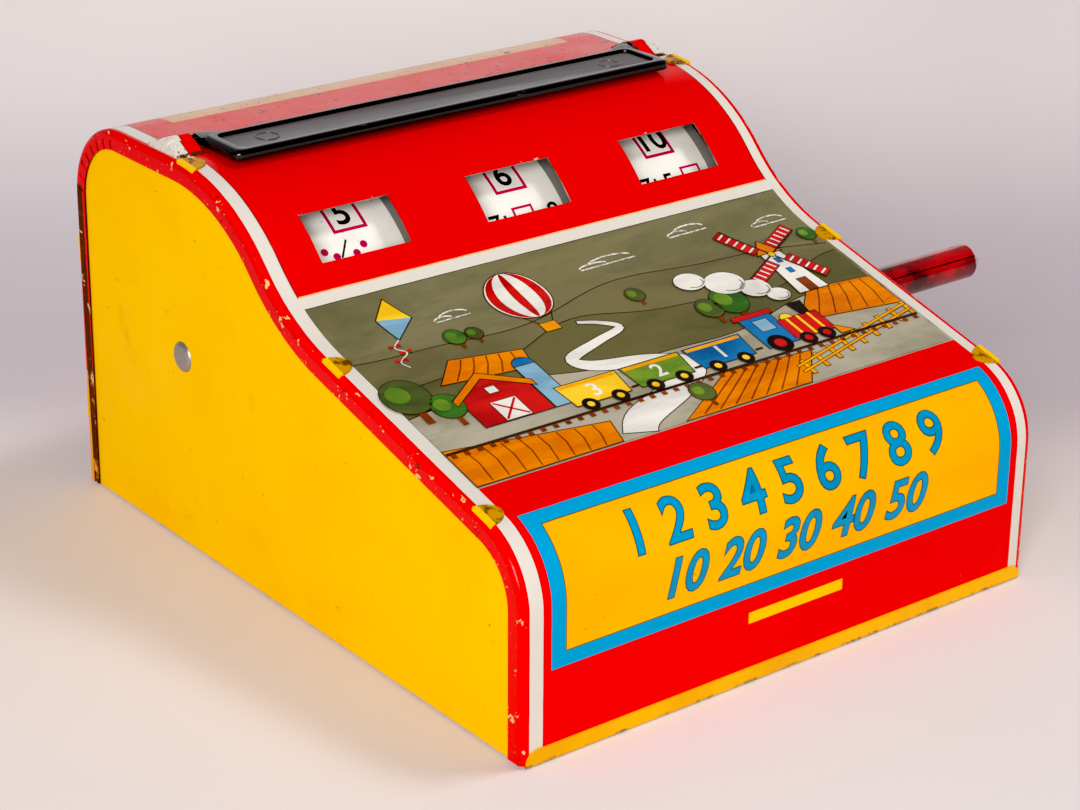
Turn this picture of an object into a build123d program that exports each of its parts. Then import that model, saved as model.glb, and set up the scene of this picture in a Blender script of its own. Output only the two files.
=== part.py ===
"""Tinplate toy adding machine: a lithographed case with three number windows,
an answer flap on the top, and a side lever that steps a drum of number bands.

Millimetres. +Z is up, +X is to the user's right and the user sits at -Y.
The origin is the centre of the underside.
"""
from build123d import *
from math import acos, asin, atan2, cos, degrees, hypot, pi, radians, sin, sqrt, tan
import os

os.makedirs("parts", exist_ok=True)

# Case
case_width = 179.0
case_depth = 217.0
rear_lean = 1.2
sheet = 0.6
bend_radius = 1.8
flange_depth = 5.6
front_wall_height = 41.6
nose_radius = 21.4
slope_angle = 15.27
valley_radius = 60.0
hump_radius = 58.0
rear_radius = 25.0
crimp_count = 8
crimp_length = 3.0
crimp_width = 0.7
crimp_depth = 0.2

# Axle, seen from the side
axle_from_front = 158.0
axle_height = 59.4
axle_radius = 2.5
rivet_head_radius = 4.5
rivet_head_height = 0.9
rivet_end_radius = 3.5
cap_thickness = 0.9
running_gap = 0.05
panel_gap = 0.05

# Windows
window_pitch = 55.66
window_width = 29.6
window_height = 15.5
window_angle = 132.7
answer_window_depth = 12.0
answer_window_from_front = 156.5

# Side panel tabs
tab_length = 8.0
tab_reach = 6.2
slot_clearance = 0.1
hump_tab_angle = 95.6
valley_tab_from_front = 82.5
nose_tab_from_front = 17.2
rear_tab_heights = (25.0, 75.0)

# Base plate
hem_height = 4.4
hem_corner_radius = 3.5
side_lip_height = 6.0
side_lip_end_gap = 3.0
bead_length = 170.0
bead_width = 7.0
bead_height = 1.0
bead_spacing = 90.0

# Answer flap
flap_width = 152.0
flap_front = 144.0
flap_rear = 163.0
flap_bottom_gap = 0.6
flap_height = 3.0
flap_corner_radius = 3.0
flap_rim = 3.6
flap_edge_radius = 1.3
flap_lip_radius = 0.6
flap_recess_depth = 1.5
flap_underside_depth = 0.5
flap_disc_radius = 3.4
flap_disc_inset = 10.0
lug_width = 4.0
lug_gap = 0.3
pin_from_front = 166.0
pin_rise = 2.0
pin_radius = 1.3
pin_end_gap = 1.0

# Ears: louvres pressed out of the case over the flap's pins, lanced open on their inner side
ear_inner = 79.1
ear_width = 8.4
ear_ridge = 4.6
ear_front = 157.8
ear_rear = 175.0
ear_gap = 0.1
lance_gap = 0.2

# Drum
wheel_radius = 50.0
wheel_width = 31.0
wheel_sheet = 0.4
wheel_shift = 2.3
wheel_seam = 0.3
wheel_seam_angle = 245.3
core_half_length = 77.4
core_sheet = 0.5
disc_inset = 4.2
disc_flange = 6.0
collar_length = 5.0
tube_radius = 4.0
tube_left = -80.0
tube_right = 77.2
end_float = 0.2

# Ratchet, pawl and drive plate
tooth_count = 12
ratchet_tip_radius = 20.0
ratchet_root_radius = 16.5
ratchet_left = 74.5
ratchet_thickness = 1.5
pawl_angle = 106.5
pawl_face_gap = 0.25
pawl_nose_rise = 0.4
pawl_nose_height = 2.8
pawl_length = 20.0
pawl_pin_radial = 18.5
pawl_boss_radius = 3.2
pawl_pin_radius = 1.5
pawl_pin_head_radius = 2.4
spring_post_head_radius = 2.1
pawl_tooth_gap = 0.45
plate_left = 78.0
plate_thickness = 1.5
plate_hub_radius = 12.0
plate_arm_width = 9.0
spring_post_radial = 26.5
spring_post_behind = 27.0
leaf_thickness = 0.4
leaf_tip_behind = 6.5
leaf_curl = 250.0
leaf_gap = 0.2
pawl_end_float = 0.15

# Lever hub, arm and grip
hub_radius = 4.5
hub_lip_radius = 5.4
hub_lip = 0.6
hub_shoulder_radius = 6.4
hub_inner_shoulder = 0.8
hub_panel_gap = 0.08
arm_left = 92.0
arm_thickness = 1.5
arm_hub_radius = 9.5
arm_tip_half_width = 4.6
arm_bend_radius = 1.0
tongue_length = 32.0
grip_from_front = 75.5
grip_height = 62.5
grip_radius = 5.3
grip_sheet = 0.5
grip_gap = 1.0
grip_end = 143.8
grip_nose_length = 5.2
grip_tip_width = 1.8
grip_tip_drop = 1.0
seam_width = 0.4
seam_angle = 34.0
crease_width = 0.5
crease_depth = 0.3
lever_swing = 32.0

# Return spring
wire_diameter = 1.0
coil_radius = 7.5
coil_pitch = 1.5
quarter_turns = 17
leg_length = 15.0
peg_along_leg = 11.0
peg_radius = 1.5
peg_gap = 0.1
coil_end_gap = 0.7

# Stops and drag spring
stop_radius = 2.0
stop_from_axle = 34.0
stop_gap = 0.1
stud_head_radius = 3.2
drag_width = 10.0
drag_right = -4.0
drag_foot = 10.0
drag_run = 9.0
drag_bend_radius = 1.5
drag_pad = 7.0
drag_gap = 0.1
drag_rivet_radius = 1.4
drag_rivet_head_radius = 2.4

# Places worked out from the sizes above
front_y = -case_depth / 2
core_radius = wheel_radius - wheel_sheet
axle_y = front_y + axle_from_front
case_top = axle_height + hump_radius
panel_outer = case_width / 2 - sheet - panel_gap
panel_inner = panel_outer - sheet
panel_inset = bend_radius + panel_gap
pin_height = case_top + pin_rise
bore_radius = axle_radius + running_gap
axle_line = Axis((0, axle_y, axle_height), (1, 0, 0))
window_places = (-window_pitch, 0.0, window_pitch)
wheel_places = [place + wheel_shift for place in window_places]
nose_centre = Vector(nose_radius, front_wall_height)
axle_centre = Vector(axle_from_front, axle_height)
slope_along = Vector(cos(radians(slope_angle)), sin(radians(slope_angle)))
slope_normal = Vector(-sin(radians(slope_angle)), cos(radians(slope_angle)))
nose_to_axle = axle_centre - nose_centre
rear_height = case_top - rear_radius
rear_run = (rear_radius + rear_height * sin(radians(rear_lean))) / cos(radians(rear_lean))
rear_centre = Vector(case_depth - rear_run, rear_height)
valley_rise = nose_radius + valley_radius
valley_run = nose_to_axle.dot(slope_along) - sqrt(
    (hump_radius + valley_radius) ** 2
    - (nose_to_axle.dot(slope_normal) - valley_rise) ** 2
)
valley_centre = nose_centre + slope_along * valley_run + slope_normal * valley_rise
axle_to_valley = valley_centre - axle_centre
valley_direction = degrees(atan2(axle_to_valley.Y, axle_to_valley.X))


def side_plane(x):
    """Plane across the machine: local x is the distance from the front, local y the height."""
    return Plane(origin=(x, front_y, 0), x_dir=(0, 1, 0), z_dir=(1, 0, 0))


def axle_plane(x, turn=0.0):
    """Plane across the axle, with its local x turned from the rear towards the top."""
    along = (0, cos(radians(turn)), sin(radians(turn)))
    return Plane(origin=(x, axle_y, axle_height), x_dir=along, z_dir=(1, 0, 0))


def axle_section():
    """Plane along the axle: local x is X, local y the distance from the axle."""
    return Plane(origin=(0, axle_y, axle_height), x_dir=(1, 0, 0), z_dir=(0, -1, 0))


def polar(radius, angle):
    """Point at a radius and an angle in degrees."""
    return Vector(radius * cos(radians(angle)), radius * sin(radians(angle)))


def tangent_angle(point, centre, radius, turn):
    """Direction from a circle's centre to where a line from the point touches it."""
    away = point - centre
    base = degrees(atan2(away.Y, away.X))
    return base + turn * degrees(acos(radius / away.length))


def rear_wall(height, inset=0.0):
    """Distance from the front to the leaning rear wall at a height."""
    return case_depth - height * tan(radians(rear_lean)) - inset / cos(radians(rear_lean))


def case_outline(inset, bottom):
    """Edges of the case's side outline, moved inward by the inset."""
    with BuildLine() as outline:
        nose = CenterArc(nose_centre, nose_radius - inset, 180, slope_angle - 90)
        valley = CenterArc(
            valley_centre,
            valley_radius + inset,
            slope_angle - 90,
            valley_direction - slope_angle - 90,
        )
        hump = CenterArc(axle_centre, hump_radius - inset, valley_direction, 90 - valley_direction)
        rear = CenterArc(rear_centre, rear_radius - inset, 90, rear_lean - 90)
        Line(nose @ 1, valley @ 0)
        Line(hump @ 1, rear @ 0)
        Polyline(rear @ 1, (rear_wall(bottom, inset), bottom), (inset, bottom), nose @ 0)
    return outline.edges()


def formed_block(width, inset, radius, bottom):
    """Solid with the case outline and rounded side edges."""
    with BuildPart() as block:
        with BuildSketch(side_plane(-width / 2)):
            make_face(case_outline(inset, bottom))
        extrude(amount=width)
        rims = block.faces().filter_by(Axis.X).edges()
        fillet(rims.filter_by(lambda rim: rim.bounding_box().max.Z > bottom + sheet), radius)
    return block.part


def tab_places():
    """Where the side panels' tabs come through: (distance from front, height, normal's angle)."""
    on_hump = axle_centre + polar(hump_radius, hump_tab_angle)
    slope_start = nose_centre + slope_normal * nose_radius
    on_slope = [
        slope_start + slope_along * ((place - slope_start.X) / slope_along.X)
        for place in (valley_tab_from_front, nose_tab_from_front)
    ]
    places = [(on_hump.X, on_hump.Y, hump_tab_angle)]
    places += [(point.X, point.Y, slope_angle + 90) for point in on_slope]
    places += [(rear_wall(height), height, rear_lean) for height in rear_tab_heights]
    return places


def tab_plane(side, place, lift):
    """Plane on the case's skin at a tab: local x runs inward from the panel's outer face."""
    from_front, height, angle = place
    normal = Vector(0, cos(radians(angle)), sin(radians(angle)))
    origin = Vector(side * panel_outer, front_y + from_front, height) + normal * lift
    return Plane(origin=origin, x_dir=(-side, 0, 0), z_dir=normal)


# Case shell: one sheet formed over the top, with flanges down both sides
shell_block = formed_block(case_width, 0, bend_radius, sheet)
shell_cavity = formed_block(case_width - 2 * sheet, sheet, bend_radius - sheet, -sheet)
ear_centre = Vector(pin_from_front, pin_height)
ear_radius = pin_radius + ear_gap + sheet
ear_length = ear_rear - ear_front


def ear_form(side, inset):
    """Solid of an ear: an arch over the pin whose outer end slopes down to the case."""
    radius = ear_radius - inset
    level = case_top - inset
    base = level - sheet
    feet = [Vector(ear_front + inset, level), Vector(ear_rear - inset, level)]
    start = tangent_angle(feet[0], ear_centre, radius, -1) + 360
    end = tangent_angle(feet[1], ear_centre, radius, 1)
    outer_end = ear_inner + ear_width - inset
    slope = Plane(origin=(0, front_y, 0), x_dir=(side, 0, 0), z_dir=(0, -side, 0))
    with BuildPart() as ear:
        with BuildSketch(side_plane(side * ear_inner)):
            with BuildLine():
                arch = CenterArc(ear_centre, radius, start, end - start)
                Polyline(arch @ 1, feet[1], (feet[1].X, base), (feet[0].X, base), feet[0], arch @ 0)
            make_face()
        extrude(amount=side * ear_width)
        with BuildSketch(slope):
            Polygon(
                (ear_inner, base),
                (outer_end, base),
                (outer_end, level),
                (ear_inner + ear_ridge - inset, pin_height + radius),
                (ear_inner, pin_height + radius),
                align=None,
            )
        extrude(amount=-side * case_depth, mode=Mode.INTERSECT)
    return ear.part


with BuildPart() as case_shell:
    add(shell_block)
    add(shell_cavity, mode=Mode.SUBTRACT)
    with BuildSketch(side_plane(-case_width / 2)):
        make_face(case_outline(flange_depth, -sheet))
    extrude(amount=case_width, mode=Mode.SUBTRACT)
    window_normal = (0, cos(radians(window_angle)), sin(radians(window_angle)))
    window_plane = Plane(origin=(0, axle_y, axle_height), x_dir=(1, 0, 0), z_dir=window_normal)
    with BuildSketch(window_plane.offset(hump_radius - bend_radius * 2)):
        with Locations(*[(x, 0) for x in window_places]):
            Rectangle(window_width, window_height)
    extrude(amount=bend_radius * 4, mode=Mode.SUBTRACT)
    with BuildSketch(Plane.XY.offset(case_top - bend_radius)):
        with Locations(*[(x, front_y + answer_window_from_front) for x in window_places]):
            Rectangle(window_width, answer_window_depth)
    extrude(amount=bend_radius * 2, mode=Mode.SUBTRACT)
    for side in (-1, 1):
        ear_middle = side * (ear_inner + ear_width / 2)
        for place in tab_places():
            with BuildSketch(tab_plane(side, place, -bend_radius - slot_clearance)):
                with Locations((sheet / 2, 0)):
                    Rectangle(sheet + 2 * slot_clearance, tab_length + 2 * slot_clearance)
            extrude(amount=bend_radius * 2, mode=Mode.SUBTRACT)
        with BuildSketch(Plane.XY.offset(case_top - bend_radius)):
            with Locations((ear_middle - side * lance_gap / 2, front_y + ear_front + ear_length / 2)):
                Rectangle(ear_width + lance_gap, ear_length)
        extrude(amount=bend_radius * 2, mode=Mode.SUBTRACT)
        add(ear_form(side, 0))
        add(ear_form(side, sheet), mode=Mode.SUBTRACT)
        for crimp in range(crimp_count):
            turn = rear_lean + (90 - rear_lean) * (crimp + 0.5) / crimp_count
            with BuildSketch(side_plane(side * case_width / 2)):
                with Locations(rear_centre + polar(rear_radius - flange_depth, turn)):
                    Rectangle(2 * crimp_length, crimp_width, rotation=turn)
            extrude(amount=-side * crimp_depth, mode=Mode.SUBTRACT)
case_shell.part.label = "case_shell"
export_step(case_shell.part, "parts/case_shell.step")


def side_panel(side, hole_radius):
    """Flat side sheet with half-moon tabs folded over the case's edge."""
    with BuildPart() as panel:
        with BuildSketch(side_plane(side * panel_outer)):
            make_face(case_outline(panel_inset, sheet + panel_gap))
        extrude(amount=-side * sheet)
        for place in tab_places():
            with BuildSketch(tab_plane(side, place, -panel_inset - sheet)):
                with Locations((sheet / 2, 0)):
                    Rectangle(sheet, tab_length)
            extrude(amount=panel_inset + 2 * sheet)
            with BuildSketch(tab_plane(side, place, 0)):
                Ellipse(tab_reach, tab_length / 2)
                with Locations((-tab_reach / 2, 0)):
                    Rectangle(tab_reach, tab_length, mode=Mode.SUBTRACT)
            extrude(amount=sheet)
        with BuildSketch(axle_plane(side * panel_outer)):
            Circle(hole_radius)
        extrude(amount=-side * sheet, mode=Mode.SUBTRACT)
    return panel.part


# Right-hand mechanism: angles and places shared by its pieces
arm_angle = pawl_angle - degrees(atan2(spring_post_behind, spring_post_radial))
stop_reach = plate_arm_width / 2 + stop_radius + stop_gap
stop_turn = degrees(asin(stop_reach / stop_from_axle))
stop_places = [
    polar(stop_from_axle, arm_angle - stop_turn),
    polar(stop_from_axle, arm_angle + lever_swing + stop_turn),
]
plate_right = plate_left + plate_thickness
wire_radius = wire_diameter / 2
peg_offset = coil_radius + wire_radius + peg_gap + peg_radius
peg_turn = degrees(atan2(peg_along_leg, peg_offset))
coil_start_angle = arm_angle - peg_turn
coil_end_angle = coil_start_angle - 90 * quarter_turns
coil_left = plate_right + coil_end_gap + wire_radius
coil_right = coil_left + coil_pitch * quarter_turns / 4
peg_place = polar(hypot(peg_along_leg, peg_offset), arm_angle)
anchor_place = polar(hypot(peg_along_leg, peg_offset), coil_end_angle - peg_turn)
pawl_pin_place = Vector(pawl_pin_radial, -pawl_length)
spring_post_place = Vector(spring_post_radial, -spring_post_behind)
pawl_left = ratchet_left
pawl_right = ratchet_left + ratchet_thickness

with BuildPart() as left_side_panel:
    add(side_panel(-1, axle_radius))
left_side_panel.part.label = "left_side_panel"
export_step(left_side_panel.part, "parts/left_side_panel.step")

with BuildPart() as right_side_panel:
    add(side_panel(1, hub_radius + hub_panel_gap))
    with BuildSketch(axle_plane(panel_inner)):
        with Locations(*stop_places):
            Circle(stop_radius)
        with Locations(anchor_place):
            Circle(peg_radius)
    extrude(amount=sheet, mode=Mode.SUBTRACT)
right_side_panel.part.label = "right_side_panel"
export_step(right_side_panel.part, "parts/right_side_panel.step")

# Base plate: floor with hems up the front and rear, and lips inside the side panels
plate_half_width = panel_inner - panel_gap
hem_offset = case_depth / 2 + panel_gap
rivet_x = drag_right - drag_foot / 2
with BuildPart() as base_plate:
    with BuildSketch():
        Rectangle(2 * plate_half_width, 2 * (hem_offset + sheet))
    extrude(amount=sheet)
    for side in (-1, 1):
        hem_plane = Plane(origin=(0, side * hem_offset, 0), x_dir=(-side, 0, 0), z_dir=(0, side, 0))
        with BuildSketch(hem_plane) as hem:
            with Locations((0, hem_height / 2)):
                Rectangle(2 * plate_half_width, hem_height)
            fillet(hem.vertices().group_by(Axis.Y)[-1], hem_corner_radius)
        extrude(amount=sheet)
        with BuildSketch(Plane.XY):
            with Locations((side * (plate_half_width - sheet / 2), 0)):
                Rectangle(sheet, case_depth - 2 * side_lip_end_gap)
        extrude(amount=side_lip_height)
    with BuildSketch(Plane.XY):
        with Locations((-bead_spacing / 2, 0), (bead_spacing / 2, 0)):
            SlotOverall(bead_length, bead_width + 2 * sheet, rotation=90)
    extrude(amount=sheet + bead_height)
    with BuildSketch(Plane.XY):
        with Locations((-bead_spacing / 2, 0), (bead_spacing / 2, 0)):
            SlotOverall(bead_length - 2 * sheet, bead_width, rotation=90)
    extrude(amount=bead_height, mode=Mode.SUBTRACT)
    with Locations((rivet_x, axle_y, 0)):
        Cone(
            drag_rivet_head_radius,
            drag_rivet_radius,
            sheet,
            align=(Align.CENTER, Align.CENTER, Align.MIN),
            mode=Mode.SUBTRACT,
        )
    bends = base_plate.faces().filter_by(Axis.Y).edges().filter_by(Axis.X).group_by(Axis.Z)[0]
    fillet(bends.sort_by(Axis.Y)[0], sheet)
    bends = base_plate.faces().filter_by(Axis.Y).edges().filter_by(Axis.X).group_by(Axis.Z)[0]
    fillet(bends.sort_by(Axis.Y)[-1], sheet)
base_plate.part.label = "base_plate"
export_step(base_plate.part, "parts/base_plate.step")

# Answer flap: moulded tray with lugs and pins at its rear corners
flap_bottom = case_top + flap_bottom_gap
flap_top = flap_bottom + flap_height
flap_middle = front_y + (flap_front + flap_rear) / 2
flap_depth = flap_rear - flap_front
lug_radius = pin_rise - lug_gap
pin_end = ear_inner + ear_ridge - pin_end_gap
with BuildPart() as answer_flap:
    with BuildSketch(Plane(origin=(0, flap_middle, flap_bottom))):
        RectangleRounded(flap_width, flap_depth, flap_corner_radius)
    extrude(amount=flap_height)
    fillet(answer_flap.faces().sort_by(Axis.Z)[-1].edges(), flap_edge_radius)
    fillet(answer_flap.faces().sort_by(Axis.Z)[0].edges(), flap_lip_radius)
    with BuildSketch(Plane(origin=(0, flap_middle, flap_top))):
        RectangleRounded(flap_width - 2 * flap_rim, flap_depth - 2 * flap_rim, flap_corner_radius)
    extrude(amount=-flap_recess_depth, mode=Mode.SUBTRACT)
    recess_rim = answer_flap.faces().filter_by(Axis.Z).sort_by(Axis.Z)[-1].inner_wires()[0]
    fillet(recess_rim.edges(), flap_lip_radius)
    disc_x = flap_width / 2 - flap_rim - flap_disc_inset
    with BuildSketch(Plane(origin=(0, flap_middle, flap_top - flap_recess_depth))):
        with Locations((-disc_x, 0), (disc_x, 0)):
            Circle(flap_disc_radius)
            Circle(flap_disc_radius - leaf_thickness, mode=Mode.SUBTRACT)
    extrude(amount=-leaf_thickness, mode=Mode.SUBTRACT)
    with BuildSketch(Plane(origin=(0, flap_middle, flap_bottom))):
        RectangleRounded(flap_width - flap_rim, flap_depth - flap_rim, flap_corner_radius)
    extrude(amount=flap_underside_depth, mode=Mode.SUBTRACT)
    for side in (-1, 1):
        with BuildSketch(side_plane(side * flap_width / 2)):
            with Locations((pin_from_front, pin_height)):
                Circle(lug_radius)
            Polygon(
                (flap_rear - flap_rim / 2, flap_bottom),
                (pin_from_front, pin_height - lug_radius),
                (pin_from_front, pin_height + lug_radius),
                (flap_rear - flap_rim / 2, flap_top - flap_edge_radius),
                align=None,
            )
        extrude(amount=-side * lug_width)
        with BuildSketch(side_plane(side * flap_width / 2)):
            with Locations((pin_from_front, pin_height)):
                Circle(pin_radius)
        extrude(amount=side * (pin_end - flap_width / 2))
answer_flap.part.label = "answer_flap"
export_step(answer_flap.part, "parts/answer_flap.step")

# Axle: riveted over on the left panel, with the lever's cap washer at its right end
arm_right = arm_left + arm_thickness
cap_left = arm_right + hub_lip + end_float
cap_right = cap_left + cap_thickness
with BuildPart() as drum_axle:
    with BuildSketch(axle_section()) as rod:
        with BuildLine():
            Polyline(
                (-panel_outer - rivet_head_height, 0),
                (-panel_outer - rivet_head_height, rivet_head_radius - rivet_head_height),
                (-panel_outer - rivet_head_height / 2, rivet_head_radius - rivet_head_height / 4),
                (-panel_outer, rivet_head_radius),
                (-panel_outer, axle_radius),
                (cap_right, axle_radius),
                (cap_right, rivet_end_radius),
                (cap_right + rivet_head_height, axle_radius),
                (cap_right + rivet_head_height, 0),
                close=True,
            )
        make_face()
    revolve(axis=axle_line)
drum_axle.part.label = "drum_axle"
export_step(drum_axle.part, "parts/drum_axle.step")

with BuildPart() as axle_spacer:
    with BuildSketch(axle_plane(-panel_inner)):
        Circle(tube_radius)
        Circle(axle_radius, mode=Mode.SUBTRACT)
    extrude(amount=panel_inner + tube_left - end_float)
axle_spacer.part.label = "axle_spacer"
export_step(axle_spacer.part, "parts/axle_spacer.step")

with BuildPart() as axle_cap_washer:
    with BuildSketch(axle_plane(cap_left)):
        Circle(hub_lip_radius)
        Circle(axle_radius, mode=Mode.SUBTRACT)
    extrude(amount=cap_right - cap_left)
    chamfer(axle_cap_washer.faces().sort_by(Axis.X)[-1].edges().sort_by(SortBy.RADIUS)[-1], sheet / 2)
axle_cap_washer.part.label = "axle_cap_washer"
export_step(axle_cap_washer.part, "parts/axle_cap_washer.step")

# Drum: tube, tin core, end discs and three number bands
with BuildPart() as drum_tube:
    with BuildSketch(axle_plane(tube_left)):
        Circle(tube_radius)
        Circle(bore_radius, mode=Mode.SUBTRACT)
    extrude(amount=tube_right - tube_left)
drum_tube.part.label = "drum_tube"
export_step(drum_tube.part, "parts/drum_tube.step")

with BuildPart() as drum_core:
    with BuildSketch(axle_plane(-core_half_length)):
        Circle(core_radius)
        Circle(core_radius - core_sheet, mode=Mode.SUBTRACT)
    extrude(amount=2 * core_half_length)
drum_core.part.label = "drum_core"
export_step(drum_core.part, "parts/drum_core.step")


def end_disc(side):
    """Pressed disc with a collar on the tube and a rim inside the core."""
    web = side * (core_half_length - disc_inset)
    collar_line = tube_radius + core_sheet / 2
    rim_line = core_radius - core_sheet * 1.5
    with BuildPart() as disc:
        with BuildSketch(axle_section()):
            with BuildLine():
                FilletPolyline(
                    (web - side * collar_length, collar_line),
                    (web, collar_line),
                    (web, rim_line),
                    (web - side * disc_flange, rim_line),
                    radius=core_sheet,
                )
            trace(line_width=core_sheet)
        revolve(axis=axle_line)
    return disc.part


with BuildPart() as drum_end_disc_left:
    add(end_disc(-1))
drum_end_disc_left.part.label = "drum_end_disc_left"
export_step(drum_end_disc_left.part, "parts/drum_end_disc_left.step")

with BuildPart() as drum_end_disc_right:
    add(end_disc(1))
drum_end_disc_right.part.label = "drum_end_disc_right"
export_step(drum_end_disc_right.part, "parts/drum_end_disc_right.step")

for name, middle in zip(("left", "centre", "right"), wheel_places):
    with BuildPart() as number_wheel:
        with BuildSketch(axle_plane(middle - wheel_width / 2)):
            Circle(wheel_radius)
            Circle(core_radius, mode=Mode.SUBTRACT)
            with Locations(polar(wheel_radius, wheel_seam_angle)):
                Rectangle(
                    4 * wheel_sheet, wheel_seam, rotation=wheel_seam_angle, mode=Mode.SUBTRACT
                )
        extrude(amount=wheel_width)
    number_wheel.part.label = f"number_wheel_{name}"
    export_step(number_wheel.part, f"parts/number_wheel_{name}.step")

# Ratchet wheel: each tooth has its steep face towards the pawl's nose
tooth_turn = 360 / tooth_count
with BuildPart() as ratchet_wheel:
    with BuildSketch(axle_plane(ratchet_left, pawl_angle)):
        with BuildLine():
            corners = []
            for tooth in range(tooth_count):
                corners += [
                    polar(ratchet_root_radius, tooth * tooth_turn),
                    polar(ratchet_tip_radius, tooth * tooth_turn),
                ]
            Polyline(*corners, close=True)
        make_face()
        Circle(tube_radius, mode=Mode.SUBTRACT)
    extrude(amount=ratchet_thickness)
ratchet_wheel.part.label = "ratchet_wheel"
export_step(ratchet_wheel.part, "parts/ratchet_wheel.step")

# Lever hub: runs on the axle through the right panel, with a lip riveted over at each end
hub_left = plate_left - hub_lip
panel_outside = panel_outer + sheet
with BuildPart() as lever_hub:
    with BuildSketch(axle_section()):
        with BuildLine():
            Polyline(
                (hub_left, bore_radius),
                (hub_left, hub_lip_radius),
                (plate_left, hub_lip_radius),
                (plate_left, hub_radius),
                (plate_right, hub_radius),
                (plate_right, hub_shoulder_radius),
                (plate_right + hub_inner_shoulder, hub_shoulder_radius),
                (plate_right + hub_inner_shoulder, hub_radius),
                (panel_outside, hub_radius),
                (panel_outside, hub_shoulder_radius),
                (arm_left, hub_shoulder_radius),
                (arm_left, hub_radius),
                (arm_right, hub_radius),
                (arm_right, hub_lip_radius),
                (arm_right + hub_lip, hub_lip_radius - hub_lip / 2),
                (arm_right + hub_lip, bore_radius),
                close=True,
            )
        make_face()
    revolve(axis=axle_line)
lever_hub.part.label = "lever_hub"
export_step(lever_hub.part, "parts/lever_hub.step")

# Drive plate: carries the pawl and winds the return spring
arm_reach = spring_post_place.length
with BuildPart() as drive_plate:
    with BuildSketch(axle_plane(plate_left, arm_angle)) as outline:
        Circle(plate_hub_radius)
        with Locations((arm_reach / 2, 0)):
            SlotCenterToCenter(arm_reach, plate_arm_width)
        Circle(hub_radius, mode=Mode.SUBTRACT)
        with Locations((hypot(peg_along_leg, peg_offset), 0)):
            Circle(peg_radius, mode=Mode.SUBTRACT)
    extrude(amount=plate_thickness)
    with BuildSketch(axle_plane(plate_left, pawl_angle)):
        with Locations(pawl_pin_place, spring_post_place):
            Circle(pawl_pin_radius)
    extrude(amount=plate_thickness, mode=Mode.SUBTRACT)
drive_plate.part.label = "drive_plate"
export_step(drive_plate.part, "parts/drive_plate.step")

# Pawl: its nose stands behind a steep tooth face, clear of the tooth behind it
nose_inner = ratchet_root_radius + pawl_nose_rise
nose_outer = nose_inner + pawl_nose_height
tooth_behind = polar(ratchet_tip_radius, -tooth_turn)
boss_top = pawl_pin_place + Vector(pawl_boss_radius, 0)
boss_foot = pawl_pin_place + polar(pawl_boss_radius, 120)
with BuildPart() as pawl:
    with BuildSketch(axle_plane(pawl_left, pawl_angle)):
        with BuildLine():
            Polyline(
                (nose_inner, -pawl_face_gap),
                (nose_outer, -pawl_face_gap),
                boss_top,
                pawl_pin_place,
                boss_foot,
                (tooth_behind.X + pawl_tooth_gap, tooth_behind.Y),
                close=True,
            )
        make_face()
        with Locations(pawl_pin_place):
            Circle(pawl_boss_radius)
            Circle(pawl_pin_radius + running_gap, mode=Mode.SUBTRACT)
    extrude(amount=ratchet_thickness)
pawl.part.label = "pawl"
export_step(pawl.part, "parts/pawl.step")

with BuildPart() as pawl_pin:
    with BuildSketch(axle_plane(pawl_left - pawl_end_float - hub_lip, pawl_angle)):
        with Locations(pawl_pin_place):
            Circle(pawl_pin_head_radius)
    extrude(amount=hub_lip)
    with BuildSketch(axle_plane(pawl_left - pawl_end_float, pawl_angle)):
        with Locations(pawl_pin_place):
            Circle(pawl_pin_radius)
    extrude(amount=plate_right + hub_lip - pawl_left + pawl_end_float)
    with BuildSketch(axle_plane(pawl_right + pawl_end_float, pawl_angle)):
        with Locations(pawl_pin_place):
            Circle(pawl_pin_head_radius)
    extrude(amount=plate_left - pawl_right - pawl_end_float)
    rims = pawl_pin.faces().filter_by(Axis.X)
    chamfer(rims.sort_by(Axis.X)[0].edges(), hub_lip / 2)
    chamfer(rims.sort_by(Axis.X)[-1].edges(), hub_lip / 2)
pawl_pin.part.label = "pawl_pin"
export_step(pawl_pin.part, "parts/pawl_pin.step")

# Leaf spring on the pawl's back, curled once round its post
curl_radius = pawl_pin_radius + leaf_thickness / 2
back_rise = (boss_top.X - nose_outer) * leaf_tip_behind / pawl_length
leaf_tip = Vector(nose_outer + back_rise + leaf_gap + leaf_thickness / 2, -leaf_tip_behind)
leaf_start = tangent_angle(leaf_tip, spring_post_place, curl_radius, 1)
with BuildPart() as pawl_spring:
    with BuildSketch(axle_plane(pawl_left + pawl_end_float, pawl_angle)):
        with BuildLine():
            curl = CenterArc(spring_post_place, curl_radius, leaf_start, leaf_curl)
            Line(leaf_tip, curl @ 0)
        trace(line_width=leaf_thickness)
    extrude(amount=ratchet_thickness - 2 * pawl_end_float)
pawl_spring.part.label = "pawl_spring"
export_step(pawl_spring.part, "parts/pawl_spring.step")

with BuildPart() as pawl_spring_post:
    with BuildSketch(axle_plane(pawl_left, pawl_angle)):
        with Locations(spring_post_place):
            Circle(pawl_pin_radius)
    extrude(amount=plate_right + hub_lip - pawl_left)
    with BuildSketch(axle_plane(pawl_right, pawl_angle)):
        with Locations(spring_post_place):
            Circle(spring_post_head_radius)
    extrude(amount=plate_left - pawl_right)
pawl_spring_post.part.label = "pawl_spring_post"
export_step(pawl_spring_post.part, "parts/pawl_spring_post.step")


# Lever return spring: legs and turns in one wire, wound down from the drive plate to the panel
def helix_point(turned):
    """Point on the coil after an angle in degrees from its start."""
    around = polar(coil_radius, coil_start_angle - turned)
    return Vector(
        coil_left + coil_pitch * turned / 360, axle_y + around.X, axle_height + around.Y
    )


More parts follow.
